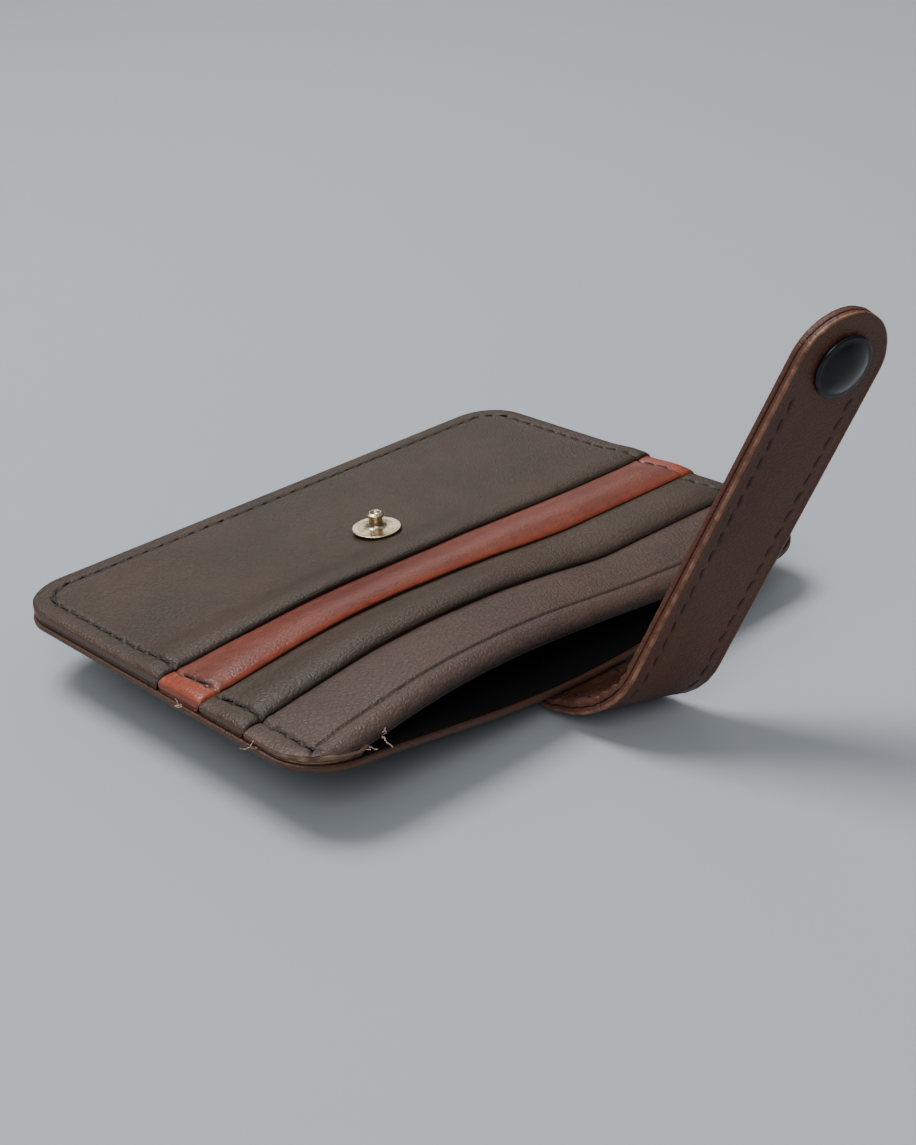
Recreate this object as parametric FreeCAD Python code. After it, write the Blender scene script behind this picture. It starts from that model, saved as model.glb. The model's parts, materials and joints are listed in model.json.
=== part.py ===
"""Leather card holder with four stepped front panels and a snap strap.

Frame: the origin is the middle of the back cover's flat outer face.  +X runs
along the long side, +Z out of the front, and the mouth of the pockets is
towards -Y.  Millimetres.  The strap is modelled half open, as it stands when
the snap has been let go.
"""
import FreeCAD, Part
import math
import os
from FreeCAD import Matrix, Placement, Rotation, Vector

# --- outline --------------------------------------------------------------
WIDTH = 110.0               # long side
DEPTH = 80.0                # from the mouth to the sewn bottom edge
CORNER_RADIUS = 9.4
LINING_INSET = 1.0          # linings stop short of the leather's edge
MOUTH_Y = -DEPTH / 2
BOTTOM_Y = DEPTH / 2

# --- leather and lining ----------------------------------------------------
LEATHER = 1.0               # front panels
COVER = 1.2                 # back cover
SKIVE_WIDTH = 3.4           # the flat half of the back cover thins towards its edge
SKIVE_RISE = 0.2
SKIVE_FULL_Y = 20.0         # the skived border has its full width from here on
LINING = 0.25
LAYER_GAP = 0.05            # air between two layers at the sewn edges
TUCK = 3.0                  # how far a strip runs under the panel above it
TUCK_GAP = 0.5              # between a strip's tucked end and its lining
STEP_RUN = 7.0              # a panel comes down from its step over this length

# --- mouths of the three card slots ----------------------------------------
UPPER_SLOT_Y = -2.85
MIDDLE_SLOT_Y = -13.4
LOWER_SLOT_Y = -24.3
SLOT_FLOOR_Y = 30.0         # the slot linings end here

# --- how the empty pockets stand open ---------------------------------------
FRONT_RISE = 4.0            # front of the main pocket, at its mouth
FRONT_RISE_LEAN = -0.33     # the crest lies left of the middle
FRONT_RISE_RUN = 60.0       # fades out this far from the mouth
BACK_SAG = 5.0              # back cover, at its mouth
BACK_SAG_RUN = 38.0
SLOT_GAPE = 0.4             # each card slot, at its mouth
SLOT_GAPE_RUN = 22.0
DROOP = 3.0                 # the right-hand mouth corner hangs this low
DROOP_RUN = 40.0

# --- stitches ----------------------------------------------------------------
STITCH_LENGTH = 2.2
STITCH_PITCH = 3.2
STITCH_WIDTH = 0.5
STITCH_HEIGHT = 0.3
STITCH_LIFT = 0.04          # keeps a stitch just off the leather
SEAM_INSET = 3.4            # wallet seam to edge
STRAP_SEAM_INSET = 2.8      # strap seam to edge

# --- strap ---------------------------------------------------------------------
STRAP_WIDTH = 17.0
STRAP_LEATHER = 1.05        # each of its two layers
STRAP_LAYER_GAP = 0.05
ROOT_END_Y = -14.0          # sewn end of the strap on the back cover
ROOT_LAST_Y = -36.0         # the strap starts to leave the cover here
ROOT_GAP = 0.15
ROOT_STEPS = 6
ROOT_EDGE_PAST = 1.0        # last point over the cover, this far inside its mouth
ROOT_EDGE_RISE = 0.25       # and this high over the lower fold
ROOT_EDGE_ROLL = -0.04      # fall to the right for each millimetre across
ROOT_ROLL = -7.0            # the strap has rolled this far at the lower fold
FOLD_REACH = 6.0            # length of the handles that shape the bend
FOLD_STEPS = 6
FOLD_OVERLAP = 5.0          # a piece runs this far past a fold before it is cut
ARM_OVERLAP = 4.0

# --- folds -----------------------------------------------------------------------
LOWER_FOLD_PAST = 0.84      # past the mouth
LOWER_FOLD_DROP = 8.27      # under the flat half
LOWER_FOLD_YAW = 16.9       # its line is skewed towards the mouth's left
LOWER_FOLD_DIP = 14.8       # and falls to the right
LOWER_FOLD_OPEN = 59.0      # turn from closed to half open
UPPER_FOLD_OPEN = 53.1
UPPER_FOLD_PAST = 1.59
UPPER_FOLD_CLOSED_Z = 8.97
ARM_PITCH = 0.9             # slope of the closed strap, down towards the stud
FOLD_GAP = 0.3              # between the two sides of a fold
FOLD_INNER_RELIEF = 32.0    # each side is cut back by this angle inside
FOLD_OUTER_RELIEF = 21.0    # and by this one outside
COVER_CLEARANCE = 0.35      # bend to the cover's edge, when closed
COVER_EDGE_LOW = -BACK_SAG - DROOP / 2 - COVER_CLEARANCE
COVER_EDGE_HIGH = COVER_EDGE_LOW + 4.0
RELIEF_DEPTH = 6.0
RELIEF_LENGTH = 14.0

# --- snap fastener ------------------------------------------------------------------
STUD_Y = 10.54
STUD_FLANGE_RADIUS = 4.3
STUD_FLANGE = 0.4
STUD_SEAT_GAP = 0.03
STUD_NECK_RADIUS = 1.15
STUD_HEAD_RADIUS = 1.55
STUD_HEIGHT = 2.7           # over the flange
STUD_HEAD = 1.0
RIVET_STEM_RADIUS = 1.1
RIVET_PLATE_RADIUS = 3.4
RIVET_PLATE = 0.35
SNAP_FIT = 0.9              # stud head to socket wall, for the swinging strap
CAP_RADIUS = 4.9
CAP_HEIGHT = 1.9
CAP_RIM = 0.5               # height at which the dome starts
CAP_EDGE = 0.2              # rounding under the rim
CAP_STEPS = 8
POST_RADIUS = 1.4
SOCKET_RADIUS = 4.2
SOCKET_WALL = 0.35
SOCKET_HEIGHT = 1.8
SOCKET_ROOF = 0.2
SPRING_WIRE = 0.22
SPRING_DEPTH = 0.8          # ring spring to the strap's inner face
HOLE_FIT = 0.05

ARM_TIP = 8.1               # cap centre to the strap's round end

FAR = 100.0
ROW_PITCH = 2.2             # rows of points in a curved sheet


# --- shapes shared by several pieces ---------------------------------------------------
def fade(distance, run):
    """Return 1 at the mouth, 0 from run onwards, and a smooth fall between."""
    u = min(max(distance / run, 0.0), 1.0)
    return (1 - u) ** 2 * (1 + 2 * u)


def crest(x, lean=0.0):
    """Return a bell over the width: 0 at both sides, 1 at its crest."""
    u = min(max(2 * x / WIDTH, -1.0), 1.0)
    v = (u - lean) / (1 - lean * u)
    return (1 - v * v) ** 2


def droop(x, y):
    """Return how far the mouth's right-hand corner pulls a point down."""
    share = min(max((MOUTH_Y + DROOP_RUN - y) / DROOP_RUN, 0.0), 1.05)
    return DROOP * (x + WIDTH / 2) / WIDTH * share ** 2


def sag(x, y):
    """Return the height of the back cover's outer face."""
    return -BACK_SAG * crest(x) * fade(y - MOUTH_Y, BACK_SAG_RUN) - droop(x, y)


def rise(x, y, slots):
    """Return how far a front panel stands up, with the open slots under it."""
    lift = FRONT_RISE * fade(y - MOUTH_Y, FRONT_RISE_RUN)
    for slot_y in slots:
        lift += SLOT_GAPE * fade(max(y - slot_y, 0.0), SLOT_GAPE_RUN)
    return lift * crest(x, FRONT_RISE_LEAN) - droop(x, y)


def rounded_outline(inset, low=-FAR, high=FAR):
    """Return a prism with the outline of the card holder."""
    w = WIDTH / 2 - inset
    d = DEPTH / 2 - inset
    box = Part.makeBox(2 * w, 2 * d, high - low, Vector(-w, -d, low))
    corners = [e for e in box.Edges if abs(e.Length - (high - low)) < 1e-6]
    return box.makeFillet(CORNER_RADIUS - inset, corners)


def sheet(bottom, thickness, y_low, y_high, inset=0.0):
    """Return a curved sheet over the whole width, from y_low to y_high."""
    over = 2.0
    columns = 21
    rows = max(7, int((y_high - y_low) / ROW_PITCH) + 2)
    xs = [-WIDTH / 2 - over + (WIDTH + 2 * over) * i / (columns - 1) for i in range(columns)]
    ys = [y_low + (y_high - y_low) * j / (rows - 1) for j in range(rows)]
    surface = Part.BSplineSurface()
    surface.interpolate([[Vector(x, y, bottom(x, y)) for y in ys] for x in xs])
    solid = surface.toShape().extrude(Vector(0, 0, thickness))
    return solid.common(rounded_outline(inset))


# --- levels of the layers at the flat sewn edges, from the back to the front ---------------
BACK_LINING_Z = COVER + LAYER_GAP
POCKET_LINING_Z = BACK_LINING_Z + LINING + 2 * LAYER_GAP
MOUTH_PANEL_Z = POCKET_LINING_Z + LINING + LAYER_GAP
LINING_STEP = LINING + LAYER_GAP
STRIPS = [
    # name, mouth, slots open under it, base level
    ("mouth_panel", MOUTH_Y, [], MOUTH_PANEL_Z),
    ("dark_panel", LOWER_SLOT_Y, [LOWER_SLOT_Y], MOUTH_PANEL_Z + LINING_STEP),
    ("tan_panel", MIDDLE_SLOT_Y, [LOWER_SLOT_Y, MIDDLE_SLOT_Y], MOUTH_PANEL_Z + 2 * LINING_STEP),
    ("stud_panel", UPPER_SLOT_Y, [LOWER_SLOT_Y, MIDDLE_SLOT_Y, UPPER_SLOT_Y],
     MOUTH_PANEL_Z + 3 * LINING_STEP),
]
LINING_NAMES = ["slot_lining_lower", "slot_lining_middle", "slot_lining_upper"]


def strip_level(index, y):
    """Return a front panel's underside at the sewn edges."""
    mouth = STRIPS[index][1]
    base = STRIPS[index][3]
    if index == 0:
        return base
    step = LEATHER + 2 * LAYER_GAP - LINING_STEP
    return base + step * fade(max(y - mouth - TUCK, 0.0), STEP_RUN)


def strip_bottom(index, x, y):
    """Return a front panel's underside anywhere."""
    return strip_level(index, y) + rise(x, y, STRIPS[index][2])


def strip_top(index, x, y):
    """Return a front panel's outer face anywhere."""
    return strip_bottom(index, x, y) + LEATHER


def strip_end(index):
    """Return where a front panel ends under the one above it."""
    if index == len(STRIPS) - 1:
        return BOTTOM_Y
    return STRIPS[index + 1][1] + TUCK


# --- pieces of the pockets -------------------------------------------------------------------
FLAT_FROM_Y = MOUTH_Y + BACK_SAG_RUN


def flat_outline(inset, z):
    """Return the outline of the flat half; its sewn border is set in, its mouth end is not."""
    x = WIDTH / 2 - inset
    y = BOTTOM_Y - inset
    r = CORNER_RADIUS - inset
    turn = r * math.sqrt(0.5)
    start = Vector(-WIDTH / 2, FLAT_FROM_Y, z)
    left = [Vector(-x, SKIVE_FULL_Y, z), Vector(-x, y - r, z)]
    right = [Vector(x, y - r, z), Vector(x, SKIVE_FULL_Y, z)]
    end = Vector(WIDTH / 2, FLAT_FROM_Y, z)
    edges = [Part.makeLine(start, left[0]),
             Part.makeLine(left[0], left[1]),
             Part.Arc(left[1], Vector(-x + r - turn, y - r + turn, z),
                      Vector(-x + r, y, z)).toShape(),
             Part.makeLine(Vector(-x + r, y, z), Vector(x - r, y, z)),
             Part.Arc(Vector(x - r, y, z), Vector(x - r + turn, y - r + turn, z),
                      right[0]).toShape(),
             Part.makeLine(right[0], right[1]),
             Part.makeLine(right[1], end),
             Part.makeLine(end, start)]
    return Part.Wire(edges)


def cover_height(x, y):
    """Return the outer face of the sagging half, exactly flat where it meets the flat half."""
    return sag(x, y) if fade(y - MOUTH_Y, BACK_SAG_RUN) > 0 else 0.0


def back_cover():
    """Back cover: flat over the bottom half with a skived border, sagging towards the mouth."""
    levels = [flat_outline(SKIVE_WIDTH, 0.0), flat_outline(0.0, SKIVE_RISE),
              flat_outline(0.0, COVER)]
    flat = Part.makeLoft(levels, True, True)
    return flat.fuse(sheet(cover_height, COVER, MOUTH_Y, FLAT_FROM_Y))


def back_lining():
    """Lining of the main pocket's back wall."""
    return sheet(lambda x, y: BACK_LINING_Z + sag(x, y), LINING,
                 MOUTH_Y, BOTTOM_Y, LINING_INSET)


def pocket_lining():
    """Lining of the main pocket's front wall."""
    return sheet(lambda x, y: POCKET_LINING_Z + rise(x, y, []), LINING,
                 MOUTH_Y, BOTTOM_Y, LINING_INSET)


def front_panel(index):
    """One of the four stepped panels of the front."""
    return sheet(lambda x, y: strip_bottom(index, x, y), LEATHER,
                 STRIPS[index][1], strip_end(index))


def slot_lining(index):
    """Back wall of a card slot, sewn on behind the strip below it."""
    base = STRIPS[index][3]
    slots = STRIPS[index][2]
    return sheet(lambda x, y: base + rise(x, y, slots), LINING,
                 strip_end(index) + TUCK_GAP, SLOT_FLOOR_Y, LINING_INSET)


# --- stitches -----------------------------------------------------------------------------------
def stitch(centre, along, up):
    """One stitch lying on the leather."""
    box = Part.makeBox(STITCH_LENGTH, STITCH_WIDTH, STITCH_HEIGHT,
                       Vector(-STITCH_LENGTH / 2, -STITCH_WIDTH / 2, 0))
    side = up.cross(along)
    place = Matrix(along.x, side.x, up.x, centre.x,
                   along.y, side.y, up.y, centre.y,
                   along.z, side.z, up.z, centre.z,
                   0, 0, 0, 1)
    return box.transformGeometry(place)


def stitch_on_panel(index, x, y):
    """One stitch along Y on a front panel, clear of its curved face."""
    half = STITCH_LENGTH / 2
    ends = [strip_top(index, x, y + s * half) for s in (-1, 1)]
    along = Vector(0, STITCH_LENGTH, ends[1] - ends[0]).normalize()
    slope = along.z / along.y
    base = sum(ends) / 2
    proud = max(strip_top(index, x + dx, y + dy) - base - slope * dy
                for dx in (-STITCH_WIDTH / 2, 0, STITCH_WIDTH / 2)
                for dy in (-half, -half / 2, 0, half / 2, half))
    return stitch(Vector(x, y, base + proud + STITCH_LIFT), along, Vector(1, 0, 0).cross(along))


def side_seam(side):
    """Stitches down one side, through all the front panels."""
    x = side * (WIDTH / 2 - SEAM_INSET)
    stitches = []
    for index in range(len(STRIPS)):
        low = STRIPS[index][1] + STITCH_LENGTH
        high = STRIPS[index + 1][1] if index < len(STRIPS) - 1 else BOTTOM_Y - CORNER_RADIUS
        if index == 0:
            low = MOUTH_Y + CORNER_RADIUS
        count = int((high - low - STITCH_LENGTH / 2) / STITCH_PITCH) + 1
        for i in range(count):
            y = low + i * STITCH_PITCH
            stitches.append(stitch_on_panel(index, x, y))
    return Part.makeCompound(stitches)


def bottom_seam():
    """Stitches along the sewn bottom edge and round its corners."""
    index = len(STRIPS) - 1
    inner = CORNER_RADIUS - SEAM_INSET
    half = WIDTH / 2 - CORNER_RADIUS
    y = BOTTOM_Y - SEAM_INSET
    stitches = []
    count = int(2 * half / STITCH_PITCH)
    for i in range(count):
        x = (i - (count - 1) / 2) * STITCH_PITCH
        centre = Vector(x, y, strip_top(index, x, y) + STITCH_LIFT)
        stitches.append(stitch(centre, Vector(1, 0, 0), Vector(0, 0, 1)))
    for side in (-1, 1):
        for share in (0.25, 0.7):
            angle = share * math.pi / 2
            px = side * (half + inner * math.sin(angle))
            py = BOTTOM_Y - CORNER_RADIUS + inner * math.cos(angle)
            along = Vector(math.cos(angle), -side * math.sin(angle), 0)
            centre = Vector(px, py, strip_top(index, px, py) + 2 * STITCH_LIFT)
            stitches.append(stitch(centre, along, Vector(0, 0, 1)))
    return Part.makeCompound(stitches)


# --- stud ---------------------------------------------------------------------------------------
STUD_PANEL = len(STRIPS) - 1
STUD_SEAT = Vector(0, STUD_Y, strip_top(STUD_PANEL, 0, STUD_Y))


def turned(profile, place=None):
    """Return the solid of revolution of (radius, height) points about Z."""
    points = [Vector(r, 0, z) for r, z in profile]
    wire = Part.makePolygon(points + [points[0]])
    solid = Part.Face(wire).revolve(Vector(0, 0, 0), Vector(0, 0, 1), 360)
    if place is not None:
        solid.Placement = place
    return solid


def stud_place(height=0.0):
    """Return the stud's place on the front: upright, on the panel's face."""
    return Placement(STUD_SEAT + Vector(0, 0, height), Rotation())


SEAT_RISE = STUD_SEAT_GAP + max(
    strip_top(STUD_PANEL, x, STUD_Y + y) - STUD_SEAT.z
    for x in (-STUD_FLANGE_RADIUS, 0, STUD_FLANGE_RADIUS)
    for y in (-STUD_FLANGE_RADIUS, 0, STUD_FLANGE_RADIUS))


def snap_stud():
    """Flange and mushroom post of the snap."""
    top = STUD_FLANGE + STUD_HEIGHT
    head = top - STUD_HEAD
    profile = [(0, 0), (STUD_FLANGE_RADIUS - 0.3, 0), (STUD_FLANGE_RADIUS, 0.15),
               (STUD_FLANGE_RADIUS - 0.2, STUD_FLANGE), (STUD_NECK_RADIUS + 0.5, STUD_FLANGE),
               (STUD_NECK_RADIUS, STUD_FLANGE + 0.5), (STUD_NECK_RADIUS, head),
               (STUD_HEAD_RADIUS, head + 0.25), (STUD_HEAD_RADIUS, top - 0.35),
               (STUD_HEAD_RADIUS - 0.4, top), (0, top)]
    return turned(profile, stud_place(SEAT_RISE))


def stud_rivet():
    """Plate behind the front panel, with the stem that carries the stud."""
    plate_z = -LEATHER + LAYER_GAP
    profile = [(0, plate_z), (RIVET_PLATE_RADIUS, plate_z),
               (RIVET_PLATE_RADIUS, plate_z + RIVET_PLATE),
               (RIVET_STEM_RADIUS, plate_z + RIVET_PLATE),
               (RIVET_STEM_RADIUS, SEAT_RISE), (0, SEAT_RISE)]
    return turned(profile, stud_place())


def stud_hole():
    """Cutter for the rivet's hole and the seat of its plate."""
    seat = -LEATHER + LAYER_GAP + RIVET_PLATE + HOLE_FIT
    profile = [(0, -2 * LEATHER), (RIVET_PLATE_RADIUS + HOLE_FIT, -2 * LEATHER),
               (RIVET_PLATE_RADIUS + HOLE_FIT, seat), (RIVET_STEM_RADIUS + HOLE_FIT, seat),
               (RIVET_STEM_RADIUS + HOLE_FIT, 2 * LEATHER), (0, 2 * LEATHER)]
    return turned(profile, stud_place())


# --- folds of the strap ---------------------------------------------------------------------------
YAW = math.radians(LOWER_FOLD_YAW)
DIP = math.radians(LOWER_FOLD_DIP)
LOWER_FOLD = Vector(0, MOUTH_Y - LOWER_FOLD_PAST, -LOWER_FOLD_DROP)
LOWER_AXIS = Vector(math.cos(DIP) * math.cos(YAW), math.cos(DIP) * math.sin(YAW), -math.sin(DIP))
SNAP_REACH = STUD_Y - MOUTH_Y + UPPER_FOLD_PAST      # upper fold to snap
UPPER_FOLD_CLOSED = Vector(0, STUD_Y - SNAP_REACH, UPPER_FOLD_CLOSED_Z)
OPEN_LOWER = Placement(Vector(), Rotation(LOWER_AXIS, LOWER_FOLD_OPEN), LOWER_FOLD)
OPEN_UPPER = Placement(Vector(), Rotation(Vector(1, 0, 0), UPPER_FOLD_OPEN), UPPER_FOLD_CLOSED)
CLOSED_ARM = Placement(UPPER_FOLD_CLOSED, Rotation(Vector(1, 0, 0), -ARM_PITCH))
ARM = OPEN_LOWER.multiply(OPEN_UPPER).multiply(CLOSED_ARM)
UPPER_FOLD = ARM.multVec(Vector(0, 0, 0))
ARM_ACROSS = ARM.Rotation.multVec(Vector(1, 0, 0))
ARM_ALONG = ARM.Rotation.multVec(Vector(0, 1, 0))
ARM_OUT = ARM.Rotation.multVec(Vector(0, 0, 1))
STRAP_HALF = STRAP_LEATHER + STRAP_LAYER_GAP / 2
OUTER_LAYER = (STRAP_LAYER_GAP / 2, STRAP_HALF)
INNER_LAYER = (-STRAP_HALF, -STRAP_LAYER_GAP / 2)


def fold_cutter(centre, axis, along, side):
    """Cutter that ends a strap piece at a fold; side +1 removes what lies past it."""
    inward = along.cross(axis).normalize()
    ahead = axis.cross(inward).normalize()
    if ahead.dot(along) < 0:
        ahead = ahead * -1
    nose = FOLD_GAP / 2
    inner = nose + RELIEF_DEPTH * math.tan(math.radians(FOLD_INNER_RELIEF))
    outer = nose + RELIEF_DEPTH * math.tan(math.radians(FOLD_OUTER_RELIEF))
    outline = [(-nose, 0), (-inner, RELIEF_DEPTH), (RELIEF_LENGTH, RELIEF_DEPTH),
               (RELIEF_LENGTH, -RELIEF_DEPTH), (-outer, -RELIEF_DEPTH)]
    start = centre - axis * STRAP_WIDTH
    points = [start + ahead * (side * s) + inward * h for s, h in outline]
    face = Part.Face(Part.makePolygon(points + [points[0]]))
    return face.extrude(axis * (2 * STRAP_WIDTH))


def section(centre, across, out, layer):
    """Rectangle of one strap layer, square to the strap."""
    half = across * (STRAP_WIDTH / 2)
    corners = [centre - half + out * layer[0], centre + half + out * layer[0],
               centre + half + out * layer[1], centre - half + out * layer[1]]
    return Part.makePolygon(corners + [corners[0]])


def frames(points, rolls):
    """Return (centre, across, out) along a line of points, with the across directions given."""
    result = []
    for i, (centre, across) in enumerate(zip(points, rolls)):
        ahead = points[min(i + 1, len(points) - 1)] - points[max(i - 1, 0)]
        ahead.normalize()
        square = (across - ahead * across.dot(ahead)).normalize()
        result.append((centre, square, square.cross(ahead)))
    return result


def layer_along(stations, layer):
    """Loft one strap layer through its frames."""
    return Part.makeLoft([section(c, a, o, layer) for c, a, o in stations], True, False)


ROLLED_ACROSS = Vector(math.cos(math.radians(ROOT_ROLL)), 0, math.sin(math.radians(ROOT_ROLL)))


def root_stations():
    """Frames of the sewn root, from its end on the cover to past the lower fold."""
    points = []
    rolls = []
    for i in range(ROOT_STEPS):
        y = ROOT_END_Y + (ROOT_LAST_Y - ROOT_END_Y) * i / (ROOT_STEPS - 1)
        points.append(Vector(0, y, sag(0, y) - ROOT_GAP - STRAP_HALF))
        rolls.append(Vector(1, 0, 0))
    points.append(Vector(0, MOUTH_Y + ROOT_EDGE_PAST, LOWER_FOLD.z + ROOT_EDGE_RISE))
    rolls.append(Vector(1, 0, ROOT_EDGE_ROLL).normalize())
    for past in (0.0, FOLD_OVERLAP):
        points.append(LOWER_FOLD + Vector(0, -past, 0))
        rolls.append(ROLLED_ACROSS)
    return frames(points, rolls)


def bend_stations():
    """Frames of the bend, from before the lower fold to past the upper one."""
    handles = [LOWER_FOLD, LOWER_FOLD + Vector(0, -FOLD_REACH, 0),
               UPPER_FOLD - ARM_ALONG * FOLD_REACH, UPPER_FOLD]
    curve = Part.BezierCurve()
    curve.setPoles(handles)
    points = [LOWER_FOLD + Vector(0, FOLD_OVERLAP, 0)]
    rolls = [ROLLED_ACROSS]
    for i in range(FOLD_STEPS + 1):
        share = i / FOLD_STEPS
        points.append(curve.value(share))
        rolls.append((ROLLED_ACROSS * (1 - share) + ARM_ACROSS * share).normalize())
    points.append(UPPER_FOLD + ARM_ALONG * ARM_OVERLAP)
    rolls.append(ARM_ACROSS)
    return frames(points, rolls)


def cover_clearance():
    """Cutter that skives the bend where it folds over the cover's edge."""
    box = Part.makeBox(2 * STRAP_WIDTH, RELIEF_LENGTH, COVER_EDGE_HIGH - COVER_EDGE_LOW,
                       Vector(-STRAP_WIDTH, MOUTH_Y - COVER_CLEARANCE, COVER_EDGE_LOW))
    cutters = []
    for share in (1.0, 0.9, 0.8, 0.7):
        turn = Rotation(LOWER_AXIS, LOWER_FOLD_OPEN * share)
        copy = box.copy()
        copy.Placement = Placement(Vector(), turn, LOWER_FOLD)
        cutters.append(copy)
    return Part.makeCompound(cutters)


def strap_root(layer):
    """One layer of the root, ended at the lower fold."""
    solid = layer_along(root_stations(), layer)
    return solid.cut(fold_cutter(LOWER_FOLD, LOWER_AXIS, Vector(0, -1, 0), 1))


def strap_bend(layer):
    """One layer of the bend, ended at both folds."""
    solid = layer_along(bend_stations(), layer)
    solid = solid.cut(fold_cutter(LOWER_FOLD, LOWER_AXIS, Vector(0, -1, 0), -1))
    solid = solid.cut(cover_clearance().Solids)
    return solid.cut(fold_cutter(UPPER_FOLD, ARM_ACROSS, ARM_ALONG, 1))


def strap_arm(layer):
    """One layer of the arm, with its round end and the hole of the snap."""
    low, high = layer
    tip = SNAP_REACH + ARM_TIP - STRAP_WIDTH / 2
    start = -ARM_OVERLAP
    plate = Part.makeBox(STRAP_WIDTH, tip - start, high - low,
                         Vector(-STRAP_WIDTH / 2, start, low))
    end = Part.makeCylinder(STRAP_WIDTH / 2, high - low, Vector(0, tip, low))
    solid = plate.fuse(end).removeSplitter()
    hole = POST_RADIUS + HOLE_FIT
    if layer == INNER_LAYER:
        hole = SOCKET_BORE + SOCKET_WALL + HOLE_FIT
    solid = solid.cut(Part.makeCylinder(hole, 4 * STRAP_HALF, Vector(0, SNAP_REACH, -2 * STRAP_HALF)))
    solid.Placement = ARM
    return solid.cut(fold_cutter(UPPER_FOLD, ARM_ACROSS, ARM_ALONG, -1))


def strap_row(stations, side, low, high):
    """Stitches on the outer face of the root or bend, on one side."""
    stitches = []
    offset = side * (STRAP_WIDTH / 2 - STRAP_SEAM_INSET)
    points = [c + a * offset + o * (STRAP_HALF + 3 * STITCH_LIFT) for c, a, o in stations]
    outs = [o for c, a, o in stations]
    travelled = 0.0
    wanted = low
    for i in range(len(points) - 1):
        run = points[i + 1] - points[i]
        while wanted < travelled + run.Length and wanted <= high:
            share = (wanted - travelled) / run.Length
            along = Vector(run).normalize()
            out = outs[i] * (1 - share) + outs[i + 1] * share
            out = (out - along * out.dot(along)).normalize()
            stitches.append(stitch(points[i] + run * share, along, out))
            wanted += STITCH_PITCH
        travelled += run.Length
    return stitches


def root_stitches():
    """Stitches of the sewn root."""
    stations = root_stations()
    rows = strap_row(stations, -1, 2.0, 24.0) + strap_row(stations, 1, 2.0, 20.0)
    return Part.makeCompound(rows)


def bend_stitches():
    """Stitches of the bend."""
    stations = bend_stations()
    return Part.makeCompound(strap_row(stations, -1, 9.0, 18.5) + strap_row(stations, 1, 6.5, 18.5))


def arm_stitches():
    """Stitches up both sides of the arm and round under the cap."""
    offset = STRAP_WIDTH / 2 - STRAP_SEAM_INSET
    last = SNAP_REACH - CAP_RADIUS - 3.0
    stitches = []
    count = int((last - 3.0) / STITCH_PITCH) + 1
    up = Vector(0, 0, 1)
    face = STRAP_HALF + STITCH_LIFT
    for side in (-1, 1):
        for i in range(count):
            centre = Vector(side * offset, 3.0 + i * STITCH_PITCH, face)
            stitches.append(stitch(centre, Vector(0, 1, 0), up))
    seam = Part.makeCompound(stitches)
    seam.Placement = ARM
    return seam


# --- snap on the strap ---------------------------------------------------------------------------
SOCKET_BORE = STUD_HEAD_RADIUS + SNAP_FIT


def on_arm(height=0.0):
    """Return the place of a snap piece on the strap, with Z out of the outer face."""
    return ARM.multiply(Placement(Vector(0, SNAP_REACH, height), Rotation()))


def snap_cap():
    """Domed cap on the outer face."""
    dome = CAP_HEIGHT - CAP_RIM
    sphere = (CAP_RADIUS ** 2 + dome ** 2) / (2 * dome)
    span = math.asin(CAP_RADIUS / sphere)
    profile = [(0, 0), (CAP_RADIUS - CAP_EDGE, 0), (CAP_RADIUS, CAP_EDGE)]
    for i in range(CAP_STEPS):
        angle = span * (1 - i / CAP_STEPS)
        profile.append((sphere * math.sin(angle), CAP_HEIGHT - sphere * (1 - math.cos(angle))))
    return turned(profile + [(0, CAP_HEIGHT)], on_arm(STRAP_HALF))


def cap_post():
    """Post that joins the cap to the socket through the leather."""
    foot = -STRAP_LAYER_GAP / 2
    solid = Part.makeCylinder(POST_RADIUS, STRAP_HALF - foot)
    solid.Placement = on_arm(foot)
    return solid


def snap_socket():
    """Socket on the inner face, which closes over the stud."""
    foot = -STRAP_HALF - SOCKET_HEIGHT
    roof = -STRAP_LAYER_GAP / 2
    profile = [(SOCKET_BORE, foot), (SOCKET_RADIUS - 0.3, foot), (SOCKET_RADIUS, foot + 0.3),
               (SOCKET_RADIUS, -STRAP_HALF), (SOCKET_BORE + SOCKET_WALL, -STRAP_HALF),
               (SOCKET_BORE + SOCKET_WALL, roof), (0, roof), (0, roof - SOCKET_ROOF),
               (SOCKET_BORE, roof - SOCKET_ROOF)]
    groove = Part.makeTorus(SOCKET_BORE, SPRING_WIRE + HOLE_FIT, Vector(0, 0, -STRAP_HALF - SPRING_DEPTH))
    solid = turned(profile).cut(groove)
    solid.Placement = on_arm()
    return solid


def snap_spring():
    """Ring spring in the socket's groove."""
    solid = Part.makeTorus(SOCKET_BORE, SPRING_WIRE, Vector(0, 0, -STRAP_HALF - SPRING_DEPTH))
    solid.Placement = on_arm()
    return solid


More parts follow.
